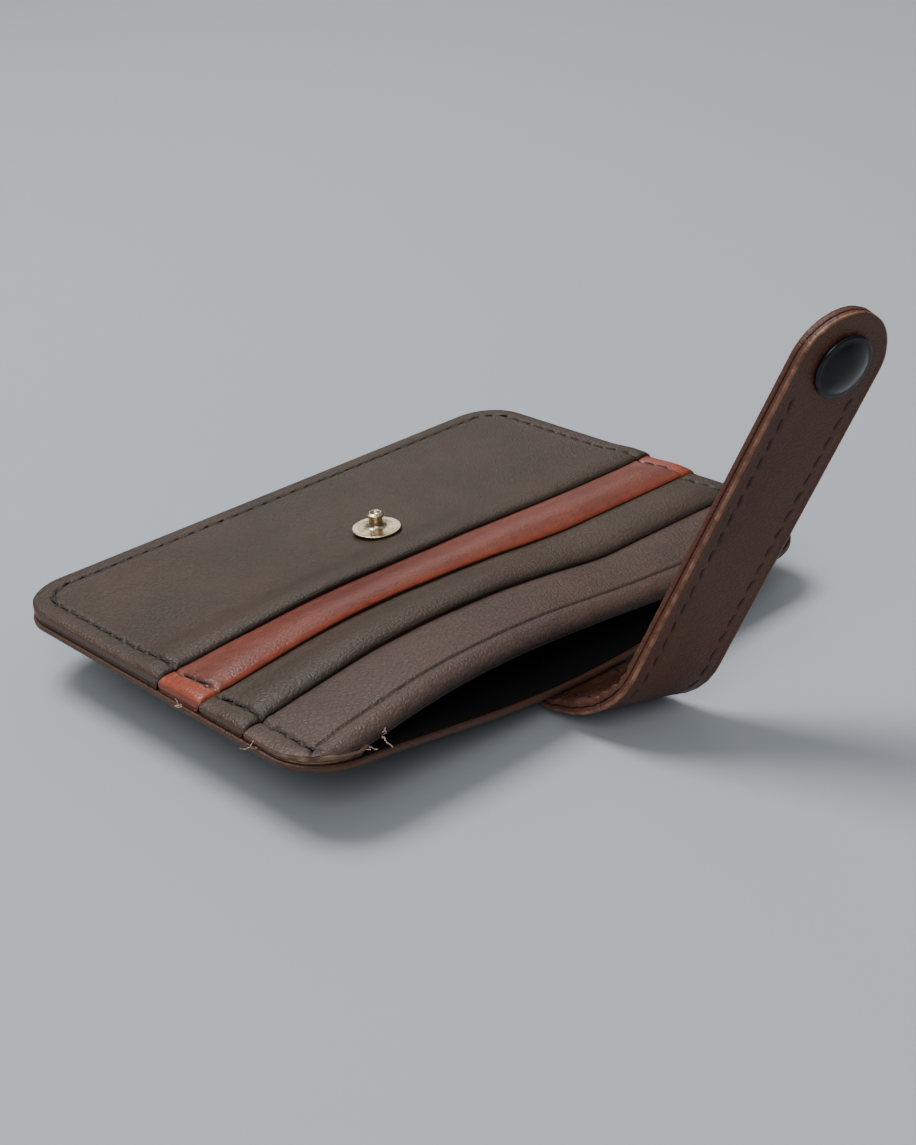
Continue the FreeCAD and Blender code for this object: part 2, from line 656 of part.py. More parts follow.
def main():
    """Build every piece and write one STEP file for each."""
    pieces = {"back_cover": back_cover(), "back_lining": back_lining(),
              "pocket_lining": pocket_lining()}
    for index, strip in enumerate(STRIPS):
        pieces[strip[0]] = front_panel(index)
    for index, name in enumerate(LINING_NAMES):
        pieces[name] = slot_lining(index)
    pieces["stud_panel"] = pieces["stud_panel"].cut(stud_hole())
    pieces["side_seam_left"] = side_seam(-1)
    pieces["side_seam_right"] = side_seam(1)
    pieces["bottom_seam"] = bottom_seam()
    pieces["snap_stud"] = snap_stud()
    pieces["stud_rivet"] = stud_rivet()
    pieces["strap_root_outer"] = strap_root(OUTER_LAYER)
    pieces["strap_root_lining"] = strap_root(INNER_LAYER)
    pieces["strap_root_stitches"] = root_stitches()
    pieces["strap_bend_outer"] = strap_bend(OUTER_LAYER)
    pieces["strap_bend_lining"] = strap_bend(INNER_LAYER)
    pieces["strap_bend_stitches"] = bend_stitches()
    pieces["strap_arm_outer"] = strap_arm(OUTER_LAYER)
    pieces["strap_arm_lining"] = strap_arm(INNER_LAYER)
    pieces["strap_arm_stitches"] = arm_stitches()
    pieces["snap_cap"] = snap_cap()
    pieces["cap_post"] = cap_post()
    pieces["snap_socket"] = snap_socket()
    pieces["snap_spring"] = snap_spring()
    os.makedirs("parts", exist_ok=True)
    for name, shape in pieces.items():
        print(name, len(shape.Solids), shape.isValid(), round(shape.Volume, 1))
        shape.exportStep("parts/" + name + ".step")
    print("lower fold", LOWER_FOLD, LOWER_AXIS)
    print("upper fold", UPPER_FOLD, ARM_ACROSS, "arm", ARM_ALONG, ARM_OUT)
    print("cap", on_arm(STRAP_HALF).Base)


main()
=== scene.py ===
"""Leather card holder with stepped card slots and a snap strap.

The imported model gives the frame.  Shapes are worked out in millimetres in the model's own
frame (origin in the middle of the back cover's flat outer face, mouth of the pockets towards
-Y, front towards +Z) and written to the meshes in metres.
"""

import json
import logging
import math
import random
from dataclasses import dataclass, field
from enum import Enum
from typing import Any, Callable, Iterable

import bmesh
import bpy
from mathutils import Matrix, Vector, noise


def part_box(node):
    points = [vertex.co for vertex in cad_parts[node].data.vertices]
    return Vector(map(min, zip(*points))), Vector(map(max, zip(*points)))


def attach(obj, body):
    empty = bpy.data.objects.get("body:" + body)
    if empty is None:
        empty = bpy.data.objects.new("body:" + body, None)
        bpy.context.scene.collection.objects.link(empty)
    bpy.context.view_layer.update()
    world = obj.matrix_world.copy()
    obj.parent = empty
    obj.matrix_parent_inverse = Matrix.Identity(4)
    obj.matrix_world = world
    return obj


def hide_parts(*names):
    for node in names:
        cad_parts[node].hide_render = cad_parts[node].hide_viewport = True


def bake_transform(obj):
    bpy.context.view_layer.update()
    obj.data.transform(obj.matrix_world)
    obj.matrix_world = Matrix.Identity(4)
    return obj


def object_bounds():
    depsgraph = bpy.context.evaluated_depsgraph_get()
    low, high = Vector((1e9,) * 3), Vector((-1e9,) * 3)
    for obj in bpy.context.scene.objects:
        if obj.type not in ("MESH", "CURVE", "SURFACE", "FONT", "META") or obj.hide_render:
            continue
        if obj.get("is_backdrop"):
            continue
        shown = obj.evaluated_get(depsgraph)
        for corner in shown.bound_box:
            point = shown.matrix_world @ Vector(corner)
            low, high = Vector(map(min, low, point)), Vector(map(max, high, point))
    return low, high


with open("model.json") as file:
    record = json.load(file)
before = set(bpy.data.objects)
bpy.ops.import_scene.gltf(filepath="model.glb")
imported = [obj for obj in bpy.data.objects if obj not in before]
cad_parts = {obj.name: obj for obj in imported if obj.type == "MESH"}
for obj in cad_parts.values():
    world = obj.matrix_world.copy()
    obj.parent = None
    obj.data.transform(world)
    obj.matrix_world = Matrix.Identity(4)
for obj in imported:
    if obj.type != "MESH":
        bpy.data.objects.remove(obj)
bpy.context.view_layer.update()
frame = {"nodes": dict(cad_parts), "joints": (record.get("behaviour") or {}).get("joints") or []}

LOG = logging.getLogger("card_holder")
MM = 0.001
RIM_ROUND = 0.04
SPLIT_LEVEL = -0.45
TIP_ANGLE = math.radians(88.5)
NOISE_ROUGHNESS = 0.55

Point = tuple[float, float, float]


class Body(Enum):
    """Bodies of the model that pieces ride on."""

    WALLET = "wallet"
    BEND = "strap_bend"
    ARM = "strap_arm"


class Slot(Enum):
    """Material slots of the record."""

    OLIVE = "olive_leather"
    TAN = "tan_leather"
    BROWN = "brown_leather"
    STRAP = "strap_leather"
    LINING = "lining"
    THREAD = "thread"
    METAL = "stud_metal"
    CAP = "cap_enamel"


# --- small helpers --------------------------------------------------------------------------


def clamp(value: float, low: float = 0.0, high: float = 1.0) -> float:
    """Return value held between low and high."""
    return min(max(value, low), high)


def smooth(value: float) -> float:
    """Return the smooth step of a value that runs from 0 to 1."""
    t = clamp(value)
    return t * t * (3 - 2 * t)


def bell(distance: float, width: float) -> float:
    """Return a bell of that half-width, 1 at distance 0."""
    return math.exp(-((distance / width) ** 2))


def shoulder(edge: float, run: float, drop: float) -> float:
    """Return how far a rounded edge has fallen at that distance inside it."""
    u = 1 - clamp(edge / run)
    return drop * (1 - math.sqrt(max(0.0, 1 - u * u)))


def wander(x: float, y: float, size: float, seed: float = 0.0) -> float:
    """Return smooth noise between about -1 and 1 with features of that size in millimetres."""
    return noise.noise(Vector((x / size, y / size, seed)))


def linear(hex_colour: str) -> tuple[float, float, float, float]:
    """Return an sRGB hex colour as linear RGBA."""
    channels = [int(hex_colour[i:i + 2], 16) / 255 for i in (1, 3, 5)]
    toned = [c / 12.92 if c <= 0.04045 else ((c + 0.055) / 1.055) ** 2.4 for c in channels]
    return (toned[0], toned[1], toned[2], 1.0)


def add_node(tree: bpy.types.NodeTree, kind: str, inputs: dict[Any, Any] | tuple = (),
             output: int | str = 0, **settings: Any) -> bpy.types.NodeSocket | None:
    """Add a shader node.

    Args:
        tree: the material's node tree.
        kind: the node's type, without the words that every type starts with.
        inputs: values, or the outputs that feed them, in the order of the node's sockets or
            by the socket's name or number.
        output: the output that is wanted.
        settings: the node's own properties.

    Returns:
        The wanted output, or nothing from a node that has none.
    """
    node = tree.nodes.new("ShaderNode" + kind)
    for name, value in settings.items():
        setattr(node, name, value)
    for name, value in inputs.items() if isinstance(inputs, dict) else enumerate(inputs):
        if isinstance(value, bpy.types.NodeSocket):
            tree.links.new(value, node.inputs[name])
        else:
            node.inputs[name].default_value = value
    return node.outputs[output] if node.outputs else None


def blank_material(name: str) -> tuple[bpy.types.Material, bpy.types.NodeTree]:
    """Return a new material and its empty node tree."""
    material = bpy.data.materials.new(name)
    material.use_nodes = True
    material.node_tree.nodes.clear()
    return material, material.node_tree


def millimetres(tree: bpy.types.NodeTree, squeeze: Point = (1, 1, 1), turn: Point = (0, 0, 0)
                ) -> bpy.types.NodeSocket:
    """Return object coordinates in millimetres, squeezed along each axis and turned."""
    where = add_node(tree, "TexCoord", output="Object")
    scale = tuple(s / MM for s in squeeze)
    return add_node(tree, "Mapping", {"Vector": where, "Scale": scale, "Rotation": turn})


def finish_surface(tree: bpy.types.NodeTree, height: Any, depth: float, strength: float,
                   skin: dict[str, Any]) -> None:
    """Give a material its relief, its skin and its output.

    Args:
        tree: the material's node tree.
        height: the pattern that gives the relief.
        depth: the relief's depth in metres.
        strength: how strongly it turns the light.
        skin: what goes into the shader's sockets.
    """
    relief = add_node(tree, "Bump", {"Height": height, "Distance": depth, "Strength": strength})
    shader = add_node(tree, "BsdfPrincipled", {**skin, "Normal": relief})
    add_node(tree, "OutputMaterial", {"Surface": shader})


# --- finishes ---------------------------------------------------------------------------------


@dataclass(frozen=True)
class Leather:
    """Full-grain cowhide, dyed, lightly waxed and pressed.

    It gives a soft broad sheen, fine creases between grain cells about half a millimetre
    across, hair pores, slow drifts of colour, and paler or redder edges where the dye is worn,
    which on rounded edges also stand for a painted sheen. A near-black painted shade darkens
    grooves, needle holes, slits, the gaps between layers and the mouths' lips.
    """

    name: str
    base: str
    tone: str
    edge: str
    raw: str = "#b46a45"
    # colour of the painted shade in grooves, needle holes, slits, gaps between layers and under the
    # mouths' lips
    painted_shade: str = "#0d0a08"
    roughness: float = 0.5
    grain_size: float = 0.85
    pore_spacing: float = 1.3
    relief: float = 0.00011
    drift_size: float = 16.0

    def build(self) -> bpy.types.Material:
        """Return the material."""
        material, tree = blank_material(self.name)
        where = millimetres(tree)
        brushed = millimetres(tree, (0.22, 1.0, 1.0), (0, 0, 0.3))
        drift, mottle, fine, strokes = (
            add_node(tree, "TexNoise", {"Vector": place, "Scale": 1 / size, "Detail": detail,
                                        "Roughness": NOISE_ROUGHNESS})
            for place, size, detail in ((where, self.drift_size, 3.0), (where, 1.6, 4.0),
                                        (where, 0.28, 2.0), (brushed, 0.4, 3.0)))
        cells = add_node(tree, "TexVoronoi", {"Vector": where, "Scale": 1 / self.grain_size},
                         "Distance", feature="DISTANCE_TO_EDGE")
        spots = add_node(tree, "TexVoronoi", {"Vector": where, "Scale": 1 / self.pore_spacing},
                         "Distance")
        creases = add_node(tree, "MapRange", (cells, 0.0, 0.22))
        pores = add_node(tree, "MapRange", (spots, 0.05, 0.16))
        shade: Any = 1.0
        for pattern, *steps in ((mottle, 0.3, 0.7, 0.86, 1.1), (creases, 0.0, 1.0, 0.88, 1.0),
                                (strokes, 0.35, 0.65, 0.93, 1.05), (pores, 0.0, 1.0, 0.8, 1.0)):
            factor = add_node(tree, "MapRange", (pattern, *steps))
            shade = add_node(tree, "Math", (shade, factor), operation="MULTIPLY")
        toned = add_node(tree, "MapRange", (drift, 0.35, 0.65))
        dye = add_node(tree, "Mix", {0: toned, 6: linear(self.base), 7: linear(self.tone)}, 2,
                       data_type="RGBA")
        grey = add_node(tree, "CombineColor", (shade, shade, shade))
        colour = add_node(tree, "Mix", {0: 1.0, 6: dye, 7: grey}, 2, data_type="RGBA",
                          blend_type="MULTIPLY")
        # Three painted attributes: worn edges, partly a painted sheen; raw leather; and painted shade in
        # grooves, slits, gaps and under lips.
        edge, raw, painted_shade = (add_node(tree, "Attribute", output="Fac", attribute_name=name)
                           for name in ("edge", "raw", "painted_shade"))
        # Paler worn edges, which on rounded side bands and the strap's outer edge also stand for a
        # painted sheen.
        patchy = add_node(tree, "MapRange", (mottle, 0.3, 0.62, 0.45, 1.0))
        worn = add_node(tree, "Math", (edge, patchy), operation="MULTIPLY")
        # The painted shade goes on last, towards near black.
        shade_weight = add_node(tree, "Math", (painted_shade, 0.9), operation="MULTIPLY")
        for cover, hue in ((worn, self.edge), (raw, self.raw), (shade_weight, self.painted_shade)):
            colour = add_node(tree, "Mix", {0: cover, 6: colour, 7: linear(hue)}, 2,
                              data_type="RGBA")
        height: Any = 0.0
        for pattern, share in ((creases, 0.55), (fine, 0.28), (strokes, 0.6), (pores, 0.3)):
            height = add_node(tree, "Math", (pattern, share, height), operation="MULTIPLY_ADD")
        gloss = add_node(tree, "MapRange", (mottle, 0.3, 0.7, self.roughness - 0.06,
                                            self.roughness + 0.08))
        gloss = add_node(tree, "Math", (edge, -0.1, gloss), operation="MULTIPLY_ADD")
        finish_surface(tree, height, self.relief, 0.75,
                       {"Base Color": colour, "Roughness": gloss, "IOR": 1.45,
                        "Specular IOR Level": 0.36})
        return material


@dataclass(frozen=True)
class Cloth:
    """Black woven cotton-polyester lining: dull, with threads 0.35 mm apart (drawn coarse)."""

    name: str = "woven_lining"
    colour: str = "#0b0a0a"
    lift: str = "#171414"
    spacing: float = 0.35

    def build(self) -> bpy.types.Material:
        """Return the material."""
        material, tree = blank_material(self.name)
        where = millimetres(tree)
        warp, weft = (add_node(tree, "TexWave", {"Vector": where, "Distortion": 0.6,
                                                 "Scale": 0.314 / self.spacing},
                               "Fac", bands_direction=axis) for axis in ("X", "Y"))
        over = add_node(tree, "Math", (warp, weft), operation="MULTIPLY")
        colour = add_node(tree, "Mix", {0: over, 6: linear(self.colour), 7: linear(self.lift)},
                          2, data_type="RGBA")
        finish_surface(tree, over, 0.00006, 0.6,
                       {"Base Color": colour, "Roughness": 0.92, "Specular IOR Level": 0.2})
        return material


@dataclass(frozen=True)
class Thread:
    """Bonded polyester sewing thread, waxed: faint gloss and a diagonal ply twist."""

    name: str
    colour: str
    light: str
    twist: float = 0.3

    def build(self) -> bpy.types.Material:
        """Return the material."""
        material, tree = blank_material(self.name)
        plies = add_node(tree, "TexWave", {"Vector": millimetres(tree), "Distortion": 1.0,
                                           "Scale": 0.314 / self.twist},
                         "Fac", bands_direction="DIAGONAL")
        colour = add_node(tree, "Mix", {0: plies, 6: linear(self.colour), 7: linear(self.light)},
                          2, data_type="RGBA")
        finish_surface(tree, plies, 0.00008, 0.7, {"Base Color": colour, "Roughness": 0.6})
        return material


@dataclass(frozen=True)
class PlatedBrass:
    """Stamped brass with a pale antique nickel plate: fine turning marks and small dull spots."""

    name: str = "antique_nickel_on_brass"
    plate: str = "#cdbfa6"
    brass: str = "#a98b5c"
    roughness: float = 0.27

    def build(self) -> bpy.types.Material:
        """Return the material."""
        material, tree = blank_material(self.name)
        where = millimetres(tree)
        turning = millimetres(tree, (1.0, 1.0, 0.08))
        cloud, spots, marks = (
            add_node(tree, "TexNoise", {"Vector": place, "Scale": 1 / size, "Detail": detail,
                                        "Roughness": NOISE_ROUGHNESS})
            for place, size, detail in ((where, 1.5, 4.0), (where, 0.25, 3.0),
                                        (turning, 0.12, 2.0)))
        rubbed = add_node(tree, "MapRange", (cloud, 0.45, 0.7))
        height = add_node(tree, "Math", (marks, spots), operation="MULTIPLY")
        gloss = add_node(tree, "MapRange", (spots, 0.35, 0.7, self.roughness - 0.05,
                                            self.roughness + 0.14))
        colour = add_node(tree, "Mix", {0: rubbed, 6: linear(self.plate), 7: linear(self.brass)},
                          2, data_type="RGBA")
        finish_surface(tree, height, 0.00002, 0.5,
                       {"Base Color": colour, "Metallic": 1.0, "Roughness": gloss})
        return material


@dataclass(frozen=True)
class Enamel:
    """Baked black enamel on a brass cap: glossy, with faint orange peel and a clear top coat."""

    name: str = "black_enamel"
    colour: str = "#080809"
    worn: str = "#1c1a1b"

    def build(self) -> bpy.types.Material:
        """Return the material."""
        material, tree = blank_material(self.name)
        where = millimetres(tree)
        peel, haze = (
            add_node(tree, "TexNoise", {"Vector": where, "Scale": 1 / size, "Detail": detail,
                                        "Roughness": NOISE_ROUGHNESS})
            for size, detail in ((0.7, 2.0), (3.0, 4.0)))
        edge = add_node(tree, "Attribute", output="Fac", attribute_name="edge")
        gloss = add_node(tree, "MapRange", (haze, 0.3, 0.7, 0.16, 0.28))
        colour = add_node(tree, "Mix", {0: edge, 6: linear(self.colour), 7: linear(self.worn)},
                          2, data_type="RGBA")
        finish_surface(tree, peel, 0.00002, 0.35,
                       {"Base Color": colour, "Roughness": gloss, "IOR": 1.4, "Specular IOR Level": 0.3,
                        "Coat Weight": 0.15, "Coat Roughness": 0.05})
        return material


@dataclass(frozen=True)
class Backdrop:
    """Matt painted board under the object."""

    name: str = "pale_board"
    colour: str = "#a6acb2"
    cloud: str = "#9ba2aa"

    def build(self) -> bpy.types.Material:
        """Return the material."""
        material, tree = blank_material(self.name)
        pattern = add_node(tree, "TexNoise", {"Vector": millimetres(tree), "Scale": 1 / 90.0,
                                              "Detail": 2.0, "Roughness": NOISE_ROUGHNESS})
        cover = add_node(tree, "MapRange", (pattern, 0.3, 0.7, 0.0, 0.08))
        colour = add_node(tree, "Mix", {0: cover, 6: linear(self.colour), 7: linear(self.cloud)},
                          2, data_type="RGBA")
        shader = add_node(tree, "BsdfPrincipled", {"Base Color": colour, "Roughness": 0.85,
                                                   "Specular IOR Level": 0.2})
        add_node(tree, "OutputMaterial", {"Surface": shader})
        return material


@dataclass
class Finishes:
    """Every material of the object, built once."""

    # The third colour of each leather is its worn edge; on the panels' rounded side bands and the strap's
    # outer edge it also stands for a painted sheen.
    olive: bpy.types.Material = field(default_factory=lambda: Leather(
        "olive_brown_cowhide", "#3a2f26", "#43352b", "#5c4333").build())
    tan: bpy.types.Material = field(default_factory=lambda: Leather(
        "tan_cowhide", "#65332a", "#743f33", "#8f4029", raw="#c98a34", roughness=0.4,
        relief=0.00006).build())
    # Brown's pale raw colour shows in the near-left corner's layered edges, partly as a painted
    # highlight.
    brown: bpy.types.Material = field(default_factory=lambda: Leather(
        "brown_cowhide", "#45352f", "#4d3a32", "#6d4d3c", raw="#a58a73").build())
    cover: bpy.types.Material = field(default_factory=lambda: Leather(
        "back_cowhide", "#3d312b", "#463529", "#553629", raw="#b04a28").build())
    strap: bpy.types.Material = field(default_factory=lambda: Leather(
        "red_brown_cowhide", "#4a2d22", "#553527", "#a0745a", raw="#56352b",
        roughness=0.5, relief=0.00012).build())
    lining: bpy.types.Material = field(default_factory=lambda: Cloth().build())
    thread: bpy.types.Material = field(default_factory=lambda: Thread(
        "dark_bonded_thread", "#0a0706", "#1b1512").build())
    frayed: bpy.types.Material = field(default_factory=lambda: Thread(
        "frayed_thread_ends", "#8d7462", "#c9b39c").build())
    metal: bpy.types.Material = field(default_factory=lambda: PlatedBrass().build())
    enamel: bpy.types.Material = field(default_factory=lambda: Enamel().build())


# --- meshes ---------------------------------------------------------------------------------------


class Painter:
    """Collects attribute values vertex by vertex and writes them to a mesh."""

    def __init__(self) -> None:
        """Start with nothing painted."""
        self.values: dict[str, dict[int, float]] = {}

    def put(self, name: str, index: int, value: float) -> None:
        """Paint one vertex."""
        if value > 0:
            self.values.setdefault(name, {})[index] = clamp(value)

    def write(self, mesh: bpy.types.Mesh) -> None:
        """Write every painted attribute to the mesh."""
        for name, painted_values in self.values.items():
            layer = mesh.attributes.new(name, "FLOAT", "POINT")
            for index, value in painted_values.items():
                layer.data[index].value = value


def finish_piece(name: str, shape: bmesh.types.BMesh, material: bpy.types.Material,
                 paint: Painter | None = None, recalculate: bool = True) -> bpy.types.Object:
    """Turn a finished bmesh, in millimetres, into a smooth-shaded object in metres.

    Args:
        name: the piece's name.
        shape: the bmesh, which is freed.
        material: its material.
        paint: attribute values by vertex index.
        recalculate: whether the faces' directions are worked out again.

    Returns:
        The object, at the origin.
    """
    if recalculate:
        bmesh.ops.recalc_face_normals(shape, faces=shape.faces[:])
    bmesh.ops.scale(shape, vec=(MM, MM, MM), verts=shape.verts[:])
    mesh = bpy.data.meshes.new(name)
    shape.to_mesh(mesh)
    shape.free()
    mesh.materials.append(material)
    mesh.shade_smooth()
    if paint is not None:
        paint.write(mesh)
    piece = bpy.data.objects.new(name, mesh)
    bpy.context.scene.collection.objects.link(piece)
    return piece


def stops(*zones: tuple[float, float]) -> list[float]:
    """Return distances from a rounded edge inwards.

    Args:
        zones: (how far it reaches, its spacing) for each zone after the rounding.

    Returns:
        The distances, close together at the edge.
    """
    found = [0.0, 0.05, 0.14, 0.28, 0.46]
    for reach, step in zones:
        start = found[-1]
        count = max(1, round((reach - start) / step))
        found += [start + (reach - start) * (i + 1) / count for i in range(count)]
    return found


@dataclass
class Columns:
    """Columns of a sheet: close together along both sides and even over the middle."""

    side: list[float]
    middle: int

    @property
    def count(self) -> int:
        """Faces across."""
        return 2 * (len(self.side) - 1) + self.middle

    def place(self, column: int, half: float, scale: float = 1.0) -> float:
        """Return a column's place between -half and half, its side columns scaled."""
        if column < len(self.side):
            return -half + self.side[column] * scale
        if self.count - column < len(self.side):
            return half - self.side[self.count - column] * scale
        share = (column - len(self.side) + 1) / self.middle
        return (half - self.side[-1] * scale) * (2 * share - 1)


@dataclass
class SlabVertex:
    """Where a vertex of a slab lies in its template."""

    column: int
    row: int
    level: float
    on_rim: bool


def slab(columns: int, rows: int, rim_cuts: int) -> tuple[bmesh.types.BMesh, list[SlabVertex]]:
    """Return a closed flat slab and where each of its vertices lies.

    Args:
        columns: faces across.
        rows: faces along.
        rim_cuts: loops between the top and the bottom edge.

    Returns:
        The bmesh, with vertex order fixed, and one record for each vertex; level runs
        from -1 on the bottom to 1 on top.
    """
    shape = bmesh.new()
    bmesh.ops.create_grid(shape, x_segments=columns, y_segments=rows, size=1.0)
    bmesh.ops.translate(shape, verts=shape.verts[:], vec=(0, 0, 1))
    raised = bmesh.ops.extrude_face_region(shape, geom=shape.faces[:])
    moved = [v for v in raised["geom"] if isinstance(v, bmesh.types.BMVert)]
    bmesh.ops.translate(shape, verts=moved, vec=(0, 0, -2))
    walls = [e for e in shape.edges if abs(e.verts[0].co.z - e.verts[1].co.z) > 1]
    bmesh.ops.subdivide_edges(shape, edges=walls, cuts=rim_cuts, use_grid_fill=True)
    shape.verts.index_update()
    records = []
    for vertex in shape.verts:
        column = round((vertex.co.x + 1) / 2 * columns)
        row = round((vertex.co.y + 1) / 2 * rows)
        rim = column in (0, columns) or row in (0, rows)
        records.append(SlabVertex(column, row, vertex.co.z, rim))
    return shape, records


def turned(name: str, profile: Iterable[tuple[float, float]], place: Matrix,
           material: bpy.types.Material, steps: int = 64,
           worn: Callable[[float, float], float] | None = None) -> bpy.types.Object:
    """Return a piece spun from a profile.

    Args:
        name: the piece's name.
        profile: (radius, height) points from the axis round to the axis, in millimetres.
        place: its place in the model, in millimetres, with Z along the axis.
        material: its material.
        steps: faces round the axis.
        worn: gives the edge attribute from a radius and a height.

    Returns:
        The object.
    """
    shape = bmesh.new()
    points = [shape.verts.new((r, 0, z)) for r, z in profile]
    edges = [shape.edges.new(pair) for pair in zip(points, points[1:])]
    bmesh.ops.spin(shape, geom=points + edges, cent=(0, 0, 0), axis=(0, 0, 1),
                   angle=2 * math.pi, steps=steps, use_merge=True)
    bmesh.ops.remove_doubles(shape, verts=shape.verts[:], dist=1e-4)
    shape.verts.index_update()
    paint = Painter()
    if worn is not None:
        for vertex in shape.verts:
            radius = math.hypot(vertex.co.x, vertex.co.y)
            paint.put("edge", vertex.index, worn(radius, vertex.co.z))
    bmesh.ops.transform(shape, matrix=place, verts=shape.verts[:])
    return finish_piece(name, shape, material, paint)


def rounded_corner(centre: tuple[float, float], radius: float, start: float, end: float,
                   steps: int = 5) -> list[tuple[float, float]]:
    """Return profile points on an arc, angles in degrees."""
    angles = [math.radians(start + (end - start) * i / steps) for i in range(steps + 1)]
    return [(centre[0] + radius * math.cos(a), centre[1] + radius * math.sin(a)) for a in angles]


def close_tube(shape: bmesh.types.BMesh, rings: list[list[bmesh.types.BMVert]]) -> None:
    """Join rings of vertices into a tube and close its ends."""
    sides = len(rings[0])
    for first, second in zip(rings, rings[1:]):
        for k in range(sides):
            shape.faces.new((first[k], first[(k + 1) % sides],
                             second[(k + 1) % sides], second[k]))
    shape.faces.new(list(reversed(rings[0])))
    shape.faces.new(rings[-1])


def add_stitch(shape: bmesh.types.BMesh, centre: Vector, along: Vector, out: Vector,
               length: float, thickness: float, dip: float) -> None:
    """Add one stitch: a soft bar whose ends dive into their holes.

    Args:
        shape: the bmesh that takes it.
        centre: its middle, on the surface.
        along: its direction.
        out: the surface's outward direction.
        length: hole to hole.
        thickness: the thread's diameter.
        dip: how far its ends go under the surface.
    """
    sections, sides = 7, 8
    across = along.cross(out).normalized()
    rings = []
    for i in range(sections):
        share = i / (sections - 1) * 2 - 1
        lift = thickness * 0.25 - dip * abs(share) ** 3
        radius = thickness / 2 * (0.72 + 0.28 * (1 - share * share))
        middle = centre + along * (share * length / 2) + out * lift
        made = bmesh.ops.create_circle(shape, segments=sides, radius=radius)
        turn = Matrix((across, out, along)).transposed().to_4x4()
        bmesh.ops.transform(shape, matrix=Matrix.Translation(middle) @ turn, verts=made["verts"])
        rings.append(made["verts"])
    close_tube(shape, rings)


def rides(piece: bpy.types.Object, body: Body, slot: Slot, *nodes: str) -> bpy.types.Object:
    """Tie a piece to its body and hide the nodes that it stands for."""
    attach(piece, body.value)
    if nodes:
        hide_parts(*nodes)
    LOG.info("%s rides on %s, %d faces", piece.name, body.value, len(piece.data.polygons))
    return piece


# --- the form of the card holder ------------------------------------------------------------------


